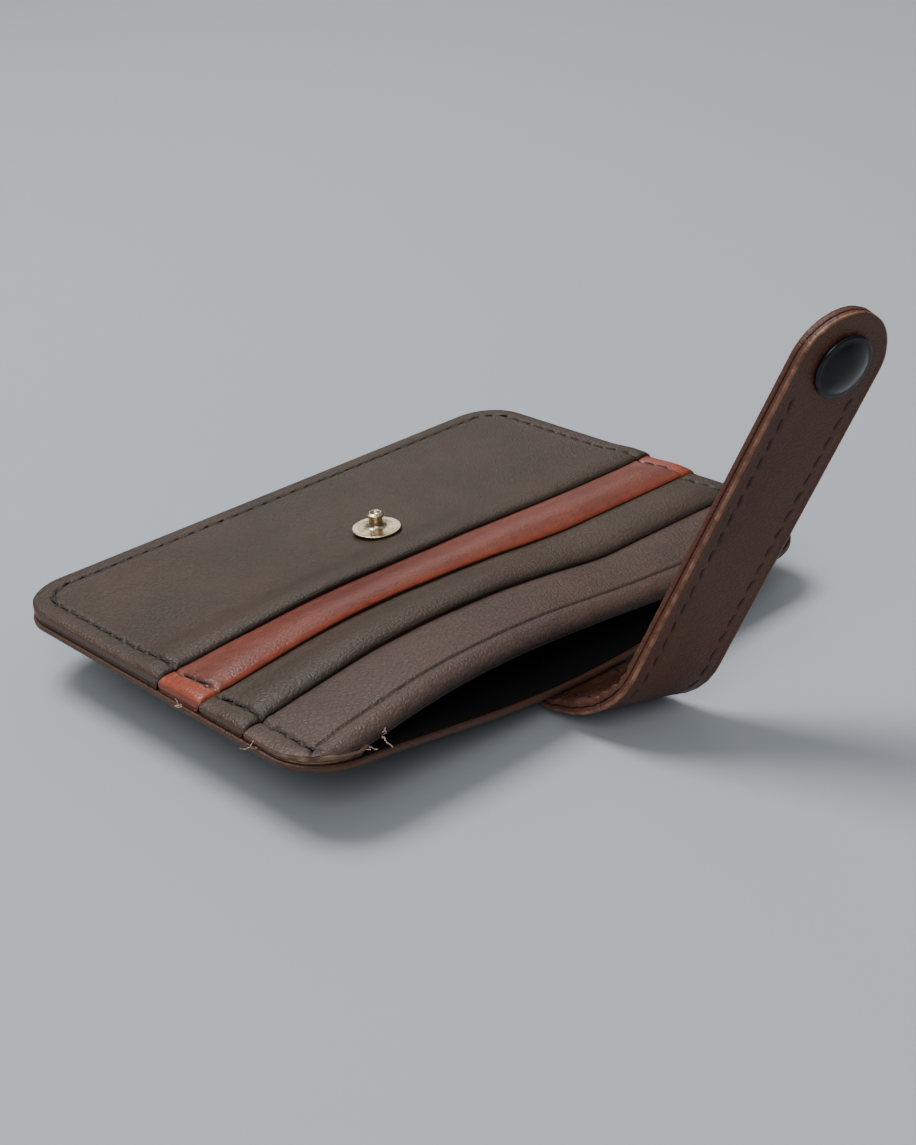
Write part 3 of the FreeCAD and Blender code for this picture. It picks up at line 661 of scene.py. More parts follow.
@dataclass
class Form:
    """The card holder's outline and how its empty pockets stand open, in millimetres."""

    width: float = 110.0
    depth: float = 80.0
    corner: float = 9.4
    leather: float = 1.0
    cover: float = 1.2
    lining: float = 0.25
    tuck: float = 3.0
    step: float = 0.8
    step_run: float = 7.0
    front_rise: float = 4.0
    front_lean: float = -0.33
    front_run: float = 60.0
    back_sag: float = 5.0
    back_run: float = 38.0
    dip_depth: float = 1.3
    slot_gape: float = 0.4
    slot_run: float = 22.0
    droop_drop: float = 3.0
    droop_run: float = 40.0
    seam_inset: float = 3.7

    @property
    def mouth(self) -> float:
        """Y of the pockets' mouth."""
        return -self.depth / 2

    @staticmethod
    def fade(distance: float, run: float) -> float:
        """Return 1 at the mouth and 0 from run onwards."""
        u = clamp(distance / run)
        return (1 - u) ** 2 * (1 + 2 * u)

    def crest(self, x: float, lean: float = 0.0) -> float:
        """Return a bell over the width: 0 at both sides, 1 at its crest."""
        u = clamp(2 * x / self.width, -1.0, 1.0)
        v = (u - lean) / (1 - lean * u)
        return (1 - v * v) ** 2

    def droop(self, x: float, y: float) -> float:
        """Return how far the mouth's right-hand corner pulls a point down."""
        share = clamp((self.mouth + self.droop_run - y) / self.droop_run, 0.0, 1.05)
        return self.droop_drop * (x + self.width / 2) / self.width * share ** 2

    def sag(self, x: float, y: float) -> float:
        """Return the height of the back cover's outer face."""
        return (-self.back_sag * self.crest(x) * self.fade(y - self.mouth, self.back_run)
                - self.droop(x, y))

    def rise(self, x: float, y: float, slots: Iterable[float]) -> float:
        """Return how far a front panel stands up."""
        lift = self.front_rise * self.fade(y - self.mouth, self.front_run)
        for slot in slots:
            lift += self.slot_gape * self.fade(max(y - slot, 0.0), self.slot_run)
        return lift * self.crest(x, self.front_lean) - self.droop(x, y) - self.dip(x, y)

    def dip(self, x: float, y: float) -> float:
        """Return how far the front has sunk right of the middle, behind the mouth."""
        return self.dip_depth * bell(x - 18.0, 13.0) * bell(y + 21.0, 10.0)

    def ripple(self, x: float, y: float) -> float:
        """Return the slow unevenness that every layer of the leather shares."""
        inner = smooth((self.edge_distance(x, y) - 3.0) / 8.0)
        return inner * (0.3 * wander(x, y, 24.0, 3.1) + 0.09 * wander(x, y, 8.0, 7.7))

    def edge_distance(self, x: float, y: float) -> float:
        """Return how far inside the outline a point lies."""
        qx = abs(x) - (self.width / 2 - self.corner)
        qy = abs(y) - (self.depth / 2 - self.corner)
        outside = math.hypot(max(qx, 0.0), max(qy, 0.0)) + min(max(qx, qy), 0.0)
        return self.corner - outside

    def inward(self, x: float, y: float) -> tuple[float, float]:
        """Return the unit direction from the nearest edge inwards."""
        qx = abs(x) - (self.width / 2 - self.corner)
        qy = abs(y) - (self.depth / 2 - self.corner)
        gx, gy = max(qx, 0.0), max(qy, 0.0)
        if gx == 0 and gy == 0:
            gx, gy = (1.0, 0.0) if qx > qy else (0.0, 1.0)
        length = math.hypot(gx, gy)
        return (-math.copysign(gx / length, x), -math.copysign(gy / length, y))

    def half_width(self, y: float) -> float:
        """Return half the outline's width at that Y."""
        past = abs(y) - (self.depth / 2 - self.corner)
        if past <= 0:
            return self.width / 2
        past = min(past, self.corner)
        return self.width / 2 - self.corner + math.sqrt(self.corner ** 2 - past ** 2)

    def outline_point(self, travelled: float, inset: float) -> tuple[float, float, float, float]:
        """Return a point on the inset outline and its direction.

        Args:
            travelled: millimetres from the mouth up the left side, round the sewn end.
            inset: distance from the edge.

        Returns:
            X, Y and the direction's X and Y.
        """
        r = self.corner - inset
        straight = self.depth - self.corner
        arc = r * math.pi / 2
        across = self.width - 2 * self.corner
        half, far = self.width / 2, self.depth / 2
        if travelled < straight:
            return (-half + inset, self.mouth + travelled, 0.0, 1.0)
        travelled -= straight
        if travelled < arc:
            a = travelled / r
            return (-half + self.corner - r * math.cos(a), far - self.corner + r * math.sin(a),
                    math.sin(a), math.cos(a))
        travelled -= arc
        if travelled < across:
            return (-half + self.corner + travelled, far - inset, 1.0, 0.0)
        travelled -= across
        if travelled < arc:
            a = travelled / r
            return (half - self.corner + r * math.sin(a), far - self.corner + r * math.cos(a),
                    math.cos(a), -math.sin(a))
        travelled -= arc
        return (half - inset, far - self.corner - travelled, 0.0, -1.0)

    def seam_length(self) -> float:
        """Return the length of the seam from mouth to mouth."""
        r = self.corner - self.seam_inset
        return 2 * (self.depth - self.corner) + math.pi * r + self.width - 2 * self.corner


@dataclass
class Strip:
    """One of the stepped front panels."""

    name: str
    mouth: float
    end: float
    base: float
    slots: tuple[float, ...]
    slot: Slot
    lining_node: str | None


@dataclass
class Pockets:
    """The four front panels, their linings and the seams."""

    form: Form
    finishes: Finishes
    lower: float = -24.3
    middle: float = -13.4
    upper: float = -2.85
    panel_base: float = 1.90
    lining_step: float = 0.3
    floor: float = 30.0
    stitch_pitch: float = 3.2
    stitch_length: float = 2.5
    thread: float = 0.5
    border_drop: float = 1.38
    border_reach: float = 3.1
    crease_inset: float = 4.1
    shy: float = 0.3
    tucked_shy: float = 0.7
    under_round: float = 0.25
    column_pitch: float = 1.15
    row_pitch: float = 0.42
    lining_inset: float = 2.6
    seam_start: float = 5.5
    stud: tuple[float, float] = (0.0, 10.54)
    strips: list[Strip] = field(default_factory=list)
    holes: list[tuple[float, float]] = field(default_factory=list)

    def __post_init__(self) -> None:
        """Work out the strips and the needle holes."""
        far = self.form.depth / 2
        base, step = self.panel_base, self.lining_step
        lower, middle, upper = self.lower, self.middle, self.upper
        tuck = self.form.tuck
        self.strips = [
            Strip("mouth_panel", self.form.mouth, lower + tuck, base, (), Slot.BROWN, None),
            Strip("dark_panel", lower, middle + tuck, base + step, (lower,), Slot.OLIVE,
                  "slot_lining_lower"),
            Strip("tan_panel", middle, upper + tuck, base + 2 * step, (lower, middle), Slot.TAN,
                  "slot_lining_middle"),
            Strip("stud_panel", upper, far, base + 3 * step, (lower, middle, upper), Slot.OLIVE,
                  "slot_lining_upper"),
        ]
        count = int(self.form.seam_length() / self.stitch_pitch)
        for i in range(count + 1):
            x, y, _, _ = self.form.outline_point(i * self.stitch_pitch, self.form.seam_inset)
            self.holes.append((x, y))

    def underside(self, strip: Strip, x: float, y: float) -> float:
        """Return a panel's underside before its details."""
        level = strip.base
        if strip.slots:
            sewn = smooth((self.form.width / 2 - abs(x) - 2.4) / 3.4)
            level += (0.55 + 0.45 * sewn) * self.form.step * Form.fade(
                max(y - strip.mouth - self.form.tuck, 0.0), self.form.step_run)
        return level + self.form.rise(x, y, strip.slots)

    def bulge(self, strip: Strip, x: float, y: float) -> float:
        """Return how far a strip stands proud between its mouth and the panel above it."""
        if strip.name == "stud_panel":
            return 0.0
        shown = strip.end - self.form.tuck - strip.mouth
        share = clamp((y - strip.mouth) / shown)
        inner = smooth((self.form.width / 2 - abs(x) - self.form.seam_inset) / 6.0)
        return inner * 0.5 * math.sin(math.pi * share) ** 0.8 * (0.8 + 0.5 * wander(x, y, 19.0, 61))

    def curl(self, strip: Strip, x: float, y: float) -> float:
        """Return how far a panel's free edge rolls down at its mouth."""
        reach = 3.4 if strip.slots else 3.0
        share = clamp((y - strip.mouth) / reach)
        sewn = 0.35 + 0.65 * smooth((self.form.width / 2 - abs(x) - 2.6) / 3.5)
        return (-0.6 if strip.slots else -0.95) * sewn * (1 - share) ** 2.2

    def seam_relief(self, x: float, y: float) -> tuple[float, float]:
        """Return the seam's relief on the outer face and the painted shade in its groove and needle
        holes.
        """
        edge = self.form.edge_distance(x, y)
        if edge > 8.0:
            return 0.0, 0.0
        if y < self.form.mouth + self.form.corner:
            edge = self.form.width / 2 - abs(x)
        off = edge - self.form.seam_inset
        off += 0.12 * wander(x, y, 2.1, 41.0)
        relief = -0.2 * bell(off, 0.34) + 0.06 * bell(edge - 2.1, 1.0) + 0.05 * bell(off - 1.2, 0.7)
        # Painted shade in the seam's groove, darker still in the needle holes.
        painted_shade = 0.5 * bell(off, 0.26)
        if abs(off) < 2.4:
            nearest = min((hx - x) ** 2 + (hy - y) ** 2 for hx, hy in self.holes)
            gap = math.sqrt(nearest)
            uneven = 0.6 + 0.5 * wander(x, y, 2.4, 51.0)
            relief -= 0.22 * bell(gap, 0.55)
            relief += 0.09 * uneven * bell(gap - 1.3, 0.5) * bell(off - 0.6, 0.9)
            painted_shade = max(painted_shade, 0.9 * bell(gap, 0.5))
        return relief, painted_shade

    def crease(self, strip: Strip, x: float, y: float) -> tuple[float, float]:
        """Return the relief and the painted shade of the creased line behind the mouth's rolled edge."""
        if strip.slots:
            return 0.0, 0.0
        inset = self.crease_inset + 0.25 * wander(x, 0.0, 18.0, 2.2)
        off = y - strip.mouth - inset
        inside = smooth((self.form.width / 2 - abs(x) - self.form.seam_inset) / 0.8)
        relief = inside * (-0.3 * bell(off, 0.25) + 0.12 * bell(off + 1.9, 1.2))
        # The second value is painted shade in the crease's groove.
        return relief, inside * bell(off, 0.23)

    def notch(self, strip: Strip, x: float, y: float) -> tuple[float, float]:
        """Return the relief and the painted shade of the cut where the turned edges meet at the corner.
        """
        if strip.slots or x > 0:
            return 0.0, 0.0
        px = x + self.form.width / 2 - self.form.seam_inset
        py = y - strip.mouth - self.crease_inset
        ahead = -0.69 * px - 0.72 * py
        aside = 0.72 * px - 0.69 * py + 0.15 * math.sin(3 * ahead)
        here = smooth((ahead + 0.5) / 0.5)
        relief = (-0.4 * bell(aside, 0.2) + 0.14 * bell(aside - 0.55, 0.35)) * here
        # The second value is painted shade in the cut.
        return relief, 0.95 * bell(aside, 0.15) * here

    def stud_dimple(self, x: float, y: float) -> float:
        """Return how far the stud pulls its panel in."""
        return -0.22 * bell(math.hypot(x - self.stud[0], y - self.stud[1]), 6.5)

    def outer_face(self, strip: Strip, x: float, y: float) -> tuple[float, float]:
        """Return a panel's outer face with its details, and the painted shade in its seam, crease and
        cut.
        """
        form = self.form
        # Painted shade from the seam, the crease and the cut, kept at its darkest.
        relief, painted_shade = self.seam_relief(x, y)
        line, crease_shade = self.crease(strip, x, y)
        cut, notch_shade = self.notch(strip, x, y)
        height = (self.underside(strip, x, y) + form.leather + form.ripple(x, y)
                  + self.curl(strip, x, y) + self.bulge(strip, x, y) + relief + line + cut)
        thick = height - self.border_drop + form.droop(x, y)
        run = 1.9 - 0.9 * smooth((y - 30) / 6)
        height -= shoulder(self.outline_gap(x, y), run, 0.5 * thick)
        height -= shoulder(y - strip.mouth, 0.7, 0.42)
        if strip.name == "stud_panel":
            height += self.stud_dimple(x, y)
        return height, max(painted_shade, crease_shade, notch_shade)

    def outline_gap(self, x: float, y: float) -> float:
        """Return the distance to the sewn outline, which leaves the mouth's edge out."""
        if y < self.form.mouth + self.form.corner:
            return max(0.0, self.form.half_width(y) - abs(x))
        return max(0.0, self.form.edge_distance(x, y))

    def inner_face(self, strip: Strip, x: float, y: float) -> float:
        """Return a panel's underside, which wraps down to the back cover along the seams."""
        form = self.form
        height = (self.underside(strip, x, y) + form.ripple(x, y) + self.curl(strip, x, y)
                  + self.bulge(strip, x, y))
        wrap = 1 - smooth((self.outline_gap(x, y) - 0.4) / 1.5)
        if strip.slots and y < strip.mouth + 1.2:
            wrap *= smooth((y - strip.mouth) / 1.2)
        low = self.border_drop - form.droop(x, y)
        return height + (min(low, height) - height) * wrap

    def rows_for(self, strip: Strip) -> list[float]:
        """Return the Y of each row of a panel's mesh."""
        from_mouth = stops((1.2, 0.25), (3.2, 0.34), (5.4, 0.4 if strip.slots else 0.2))
        rows = [strip.mouth + s for s in from_mouth]
        if strip.name == "stud_panel":
            tail = stops((1.9, 0.24), (4.9, 0.22), (self.form.corner + 1, self.row_pitch))
            ends = [strip.end - s for s in reversed(tail)]
        else:
            ends = [strip.end]
        low, high = rows[-1], ends[0]
        count = max(1, round((high - low) / self.row_pitch))
        rows += [low + (high - low) * (i + 1) / count for i in range(count)]
        return rows + ends[1:]

    def panel(self, strip: Strip, material: bpy.types.Material) -> bpy.types.Object:
        """Build one front panel with rolled, turned and sewn edges."""
        form = self.form
        side = stops((1.9, 0.24), (2.7, 0.3), (4.8, 0.15), (7.5, 0.4))
        columns = Columns(side, round((form.width - 2 * side[-1]) / self.column_pitch))
        rows = self.rows_for(strip)
        shape, records = slab(columns.count, len(rows) - 1, 7)
        paint = Painter()
        for vertex, where in zip(shape.verts, records):
            level = where.level
            y = rows[where.row]
            half = form.half_width(y) - self.shy
            if strip.name != "stud_panel":
                half -= self.tucked_shy * smooth((y - strip.end + form.tuck - 0.1) / 0.5)
            x = columns.place(where.column, half)
            on_end = where.row == len(rows) - 1
            round_in = (RIM_ROUND if level > 0 else self.under_round) * level ** 2
            if where.column in (0, columns.count) or (on_end and strip.name == "stud_panel"):
                nx, ny = form.inward(x, y)
                if strip.slots and y < form.mouth + form.corner:
                    nx, ny = -math.copysign(1.0, x), 0.0
                split = 0.14 * bell(level - SPLIT_LEVEL, 0.14)
                x += nx * (round_in + split)
                y += ny * (round_in + split)
            elif where.row == 0:
                y += round_in
            elif on_end:
                y -= round_in
            # The outer face's second value is its painted shade.
            top, painted_shade = self.outer_face(strip, x, y)
            low = self.inner_face(strip, x, y)
            vertex.co = (x, y, (top + low) / 2 + (top - low) / 2 * level)
            self.paint_panel(paint, strip, vertex.index, where, (x, y), painted_shade)
        piece = finish_piece(strip.name, shape, material, paint)
        return rides(piece, Body.WALLET, strip.slot, strip.name)

    def paint_panel(self, paint: Painter, strip: Strip, index: int, where: SlabVertex,
                    at: tuple[float, float], painted_shade: float) -> None:
        """Paint wear, partly a painted sheen, dye, and painted shade on one vertex of a panel."""
        x, y = at
        edge = self.outline_gap(x, y)
        on_side = where.on_rim and edge < 1.4
        patch = 0.5 + 0.5 * wander(x, y, 5.0, 11.0)
        if where.level > 0.9:
            # Painted shade from the seam, the crease and the cut on the top face.
            paint.put("painted_shade", index, painted_shade)
            lip = 1 - smooth((y - strip.mouth) / 1.5)
            if strip.slot is Slot.TAN:
                border = 1 - smooth((edge - self.border_reach) / 0.9)
                paint.put("edge", index, max(0.9 * border, 0.75 * lip))
            else:
                # Paler rim of the top face: wear, partly a painted sheen where it rounds over.
                paint.put("edge", index, 0.55 * (1 - smooth((edge - 0.2) / 1.3)) * patch)
                # Painted shade on the top face just behind the mouth's rolled lip.
                if lip > 0.01:
                    paint.put("painted_shade", index, max(painted_shade, 0.5 * lip))
            if strip.name == "stud_panel" and y > 30:
                corner = smooth((x - 30) / 18)
                thin = clamp(0.3 + 0.5 * corner + 0.7 * wander(x, y, 7.0, 71))
                far = max(smooth((y - 38) / 1.5), corner * smooth((y - 30) / 4))
                far *= smooth((x + 50) / 6)
                paint.put("raw", index, thin * bell(edge - 0.15, 0.4) * far)
        elif on_side:
            # Paler side band: wear, partly a painted sheen on its rounded edge.
            paint.put("edge", index, 0.7 + 0.3 * patch)
            # Painted shade along the split between the layers and in the corner's cut.
            seams = max(bell(where.level - SPLIT_LEVEL, 0.12), self.notch(strip, x, y)[1])
            if not strip.slots and x < 0:
                corner = smooth((self.form.mouth + 14 - y) / 8)
                # Pale streaks on the near-left corner's wall: raw layered edges, partly a painted
                # highlight.
                streaks = clamp(0.2 + 1.3 * wander(5 * where.level, y, 1.3))
                paint.put("raw", index, corner * streaks)
                # Two more thin lines of painted shade between the corner's layers.
                seams = max(seams, 0.7 * corner * bell(where.level - 0.2, 0.1))
            paint.put("painted_shade", index, 0.8 * seams)
        elif where.row == 0:
            raw = bell(where.level - 0.1, 0.5)
            if strip.slot is Slot.TAN and abs(x) > self.form.width / 2 - 4.2:
                paint.put("raw", index, raw)
            else:
                # Painted shade on the mouth's front face, standing for the dark gap under the lip.
                paint.put("painted_shade", index, 0.9)

    def lining_sheet(self, name: str, height: Callable[[float, float], float], low: float,
                     high: float) -> None:
        """Build one sheet of lining.

        Args:
            name: its name, which is its node's too.
            height: gives its lower face's height from X and Y.
            low: where it starts, nearer to the mouth.
            high: where it ends.
        """
        form, inset = self.form, self.lining_inset
        columns, rows = 60, max(12, round((high - low) / 1.5))
        shape, records = slab(columns, rows, 1)
        for vertex, where in zip(shape.verts, records):
            y = low + (high - low) * where.row / rows
            half = form.half_width(math.copysign(min(abs(y) + inset, form.depth / 2 - 0.5), y))
            x = (2 * where.column / columns - 1) * (half - inset)
            z = height(x, y) + form.ripple(x, y) + form.lining / 2 * (1 + where.level)
            vertex.co = (x, y, z)
        piece = finish_piece(name, shape, self.finishes.lining)
        rides(piece, Body.WALLET, Slot.LINING, name)

    def linings(self) -> None:
        """Build the linings of the main pocket and of the card slots."""
        form = self.form
        gap = 0.5
        low, high = form.mouth + gap, form.depth / 2 - self.lining_inset

        def over_back(x: float, y: float) -> float:
            """Return the back lining's height, a hair over the cover."""
            return form.cover + 0.05 + form.sag(x, y)

        def behind_front(x: float, y: float) -> float:
            """Return the height of the lining behind the front."""
            return form.cover + 0.4 + form.rise(x, y, ()) + self.curl(self.strips[0], x, y)

        self.lining_sheet("back_lining", over_back, low, high)
        self.lining_sheet("pocket_lining", behind_front, low, high)
        for below, strip in zip(self.strips, self.strips[1:]):

            def behind(x: float, y: float, under: Strip = below) -> float:
                """Return the height of a slot's back wall."""
                return under.base + form.rise(x, y, under.slots)

            self.lining_sheet(strip.lining_node, behind, below.end + gap, self.floor)

    def visible_strip(self, y: float) -> Strip:
        """Return the panel that shows at that Y."""
        return next((s for s in reversed(self.strips) if y >= s.mouth), self.strips[0])

    def seams(self) -> None:
        """Sew the sides and the far edge, a stitch from hole to hole."""
        form = self.form
        rng = random.Random(4)
        corner_start = form.depth - form.corner
        total = form.seam_length()
        parts = {"side_seam_left": (self.seam_start, corner_start),
                 "bottom_seam": (corner_start, total - corner_start),
                 "side_seam_right": (total - corner_start, total - self.seam_start)}
        for name, (first, last) in parts.items():
            shape = bmesh.new()
            travelled = (int(first / self.stitch_pitch) + 0.5) * self.stitch_pitch
            while travelled < last:
                x, y, dx, dy = form.outline_point(travelled, form.seam_inset)
                slant = rng.uniform(0.1, 0.3)
                flat = Vector((dx * math.cos(slant) - dy * math.sin(slant),
                               dx * math.sin(slant) + dy * math.cos(slant), 0))
                half = self.stitch_length / 2
                strip = self.visible_strip(y - abs(dy) * half)
                clear = min(abs(y - s.mouth) for s in self.strips)
                ends = [self.outer_face(strip, x + flat.x * s * half, y + flat.y * s * half)[0]
                        for s in (-1, 0, 1)]
                along = (flat * (2 * half) + Vector((0, 0, ends[2] - ends[0]))).normalized()
                side = along.cross(Vector((0, 0, 1))).normalized()
                out = side.cross(along)
                if clear > half * abs(dy) + 0.2:
                    add_stitch(shape, Vector((x, y, max(ends) - 0.06)), along, out,
                               self.stitch_length, self.thread, 0.45)
                travelled += self.stitch_pitch
            piece = finish_piece(name + "_thread", shape, self.finishes.thread)
            rides(piece, Body.WALLET, Slot.THREAD, name)

    def build(self) -> None:
        """Build the front of the card holder."""
        dress = {Slot.OLIVE: self.finishes.olive, Slot.TAN: self.finishes.tan,
                 Slot.BROWN: self.finishes.brown}
        for strip in self.strips:
            self.panel(strip, dress[strip.slot])
        self.linings()
        self.seams()


@dataclass
class BackCover:
    """The back cover, flat over the sewn half and sagging at the mouth."""

    form: Form
    finishes: Finishes
    seam_groove: float = 0.2
    skive_width: float = 3.4
    skive_rise: float = 0.2

    def skive(self, edge: float, y: float) -> float:
        """Return how far the thinned border has risen from the flat half's outer face."""
        reach = self.skive_width * clamp((y + 2.0) / 22.0)
        return self.skive_rise * (1 - clamp(edge / reach)) if reach > 0.1 else 0.0

    def build(self) -> bpy.types.Object:
        """Build the cover with its rounded, partly raw edge."""
        form = self.form
        columns = Columns(stops((1.0, 0.27), (4.8, 0.45), (8.0, 0.8)), 74)
        near = stops((1.0, 0.27), (4.8, 0.4), (form.corner + 0.6, 0.6))
        rows = [form.mouth + s for s in near]
        span_y = form.depth - 2 * near[-1]
        count = round(span_y)
        rows += [rows[-1] + span_y * (i + 1) / count for i in range(count)]
        rows += [form.depth / 2 - s for s in reversed(near[:-1])]
        shape, records = slab(columns.count, len(rows) - 1, 5)
        paint = Painter()
        for vertex, where in zip(shape.verts, records):
            y = rows[where.row]
            x = columns.place(where.column, form.half_width(y))
            if where.on_rim:
                nx, ny = form.inward(x, y)
                inset = RIM_ROUND * where.level ** 2
                x, y = x + nx * inset, y + ny * inset
            edge = max(0.0, form.edge_distance(x, y))
            groove = self.seam_groove * bell(edge - form.seam_inset, 0.5) * (y > form.mouth + 6)
            low = form.sag(x, y) + form.ripple(x, y)
            top = low + form.cover - shoulder(edge, 0.5, 0.3)
            low += groove + self.skive(edge, y) + shoulder(edge, 0.6, 0.35)
            z = (top + low) / 2 + (top - low) / 2 * where.level
            vertex.co = (x, y, z)
            self.paint_vertex(paint, vertex.index, where, (x, y), edge, groove)
        piece = finish_piece("back_cover", shape, self.finishes.cover, paint)
        return rides(piece, Body.WALLET, Slot.OLIVE, "back_cover")

    def paint_vertex(self, paint: Painter, index: int, where: SlabVertex,
                     at: tuple[float, float], edge: float, groove: float) -> None:
        """Paint the cover's wear, raw edge and the painted shade in its seam groove on one vertex."""
        x, y = at
        patch = 0.5 + 0.5 * wander(x, y, 6.0, 23.0)
        far = smooth((y - self.form.depth / 2 + 6.0) / 4.0)
        if where.level > -0.6 and edge < 1.2:
            paint.put("raw", index, far * (0.45 + 0.55 * patch))
            paint.put("edge", index, 0.85)
        if where.level < 0:
            # Painted shade in the seam's groove on the outer face.
            paint.put("painted_shade", index, 2.2 * groove)


# --- strap ------------------------------------------------------------------------------------------


@dataclass
class StrapFrame:
    """A place along the strap."""

    centre: Vector
    across: Vector
    along: Vector
    out: Vector


@dataclass
class StrapPath:
    """The strap's line from its sewn root, round the bend, up the arm; millimetres."""

    form: Form
    leather: float = 1.05
    half: float = 1.075
    root_end: float = -14.0
    root_last: float = -36.0
    root_gap: float = 0.15
    roll: float = -7.0
    reach: float = 6.0
    arm_length: float = 60.2
    arm_way: Point = (0.311291, -0.314906, 0.896623)
    snap_reach: float = 52.13
    keys: list[tuple[float, Vector, Vector]] = field(default_factory=list)
    lower_at: float = 0.0
    upper_at: float = 0.0

    def __post_init__(self) -> None:
        """Read the folds from the frame and set the key stations."""
        joints = {j["name"]: j for j in frame["joints"]}
        self.lower = Vector(joints["strap_lower_fold"]["pos_m"]) / MM
        self.upper = Vector(joints["strap_upper_fold"]["pos_m"]) / MM
        self.lower_axis = Vector(joints["strap_lower_fold"]["axis"]).normalized()
        self.arm_across = Vector(joints["strap_upper_fold"]["axis"]).normalized()
        self.arm_along = Vector(self.arm_way).normalized()
        self.arm_out = self.arm_across.cross(self.arm_along).normalized()
        rolled = Vector((math.cos(math.radians(self.roll)), 0, math.sin(math.radians(self.roll))))
        stations: list[tuple[Vector, Vector]] = []
        for i in range(6):
            y = self.root_end + (self.root_last - self.root_end) * i / 5
            z = self.form.sag(0, y) - self.root_gap - self.half
            stations.append((Vector((0, y, z)), Vector((1, 0, 0))))
        stations.append((Vector((0, self.form.mouth + 1.0, self.lower.z + 0.25)),
                         Vector((1, 0, -0.04)).normalized()))
        handles = [self.lower, self.lower + Vector((0, -self.reach, 0)),
                   self.upper - self.arm_along * self.reach, self.upper]
        steps = 8
        for i in range(steps + 1):
            t = i / steps
            weights = ((1 - t) ** 3, 3 * t * (1 - t) ** 2, 3 * t * t * (1 - t), t ** 3)
            point = sum((h * w for h, w in zip(handles, weights)), Vector((0, 0, 0)))
            stations.append((point, rolled.lerp(self.arm_across, t).normalized()))
        lower_index, upper_index = 7, 7 + steps
        for distance in (5.0, 12.0, 25.0, 40.0, self.arm_length, self.arm_length + 5.0):
            stations.append((self.upper + self.arm_along * distance, self.arm_across.copy()))
        travelled = 0.0
        for i, (point, across) in enumerate(stations):
            if i:
                travelled += (point - stations[i - 1][0]).length
            self.keys.append((travelled, point, across))
        self.lower_at = self.keys[lower_index][0]
        self.upper_at = self.keys[upper_index][0]

    @property
    def cut_at(self) -> float:
        """Return where each layer is split, in the middle of the bend."""
        return (self.lower_at + self.upper_at) / 2

    @property
    def tip_at(self) -> float:
        """Return where the strap ends."""
        return self.upper_at + self.arm_length

    def point(self, s: float) -> tuple[Vector, Vector]:
        """Return the centre and the across direction at distance s, on a smooth curve."""
        keys = self.keys
        i = 0
        while i < len(keys) - 2 and keys[i + 1][0] < s:
            i += 1
        before, start, end, after = (keys[max(i - 1, 0)], keys[i], keys[i + 1],
                                     keys[min(i + 2, len(keys) - 1)])
        gap = end[0] - start[0]
        t = (s - start[0]) / gap
        slope_start = (end[1] - before[1]) / max(end[0] - before[0], 1e-6)
        slope_end = (after[1] - start[1]) / max(after[0] - start[0], 1e-6)
        h00, h10 = 2 * t ** 3 - 3 * t * t + 1, t ** 3 - 2 * t * t + t
        h01, h11 = -2 * t ** 3 + 3 * t * t, t ** 3 - t * t
        centre = (start[1] * h00 + slope_start * (gap * h10) + end[1] * h01
                  + slope_end * (gap * h11))
        return centre, start[2].lerp(end[2], smooth(t))

    def at(self, s: float) -> StrapFrame:
        """Return the strap's frame at distance s."""
        centre, across = self.point(s)
        along = (self.point(s + 0.25)[0] - self.point(s - 0.25)[0]).normalized()
        across = (across - along * across.dot(along)).normalized()
        return StrapFrame(centre, across, along, across.cross(along))

    def fold_line(self, lower: bool) -> tuple[Vector, Vector]:
        """Return a fold's place and the direction square to its axis, ahead along the strap."""
        if lower:
            frame_here = self.at(self.lower_at)
            ahead = self.lower_axis.cross(frame_here.out).normalized()
            if ahead.dot(frame_here.along) < 0:
                ahead.negate()
            return self.lower, ahead
        return self.upper, self.arm_along


class Layer(Enum):
    """The strap's two layers, with the heights of their faces over the middle."""

    OUTER = ("outer", 0.025, 1.075)
    INNER = ("inner", -1.075, -0.025)


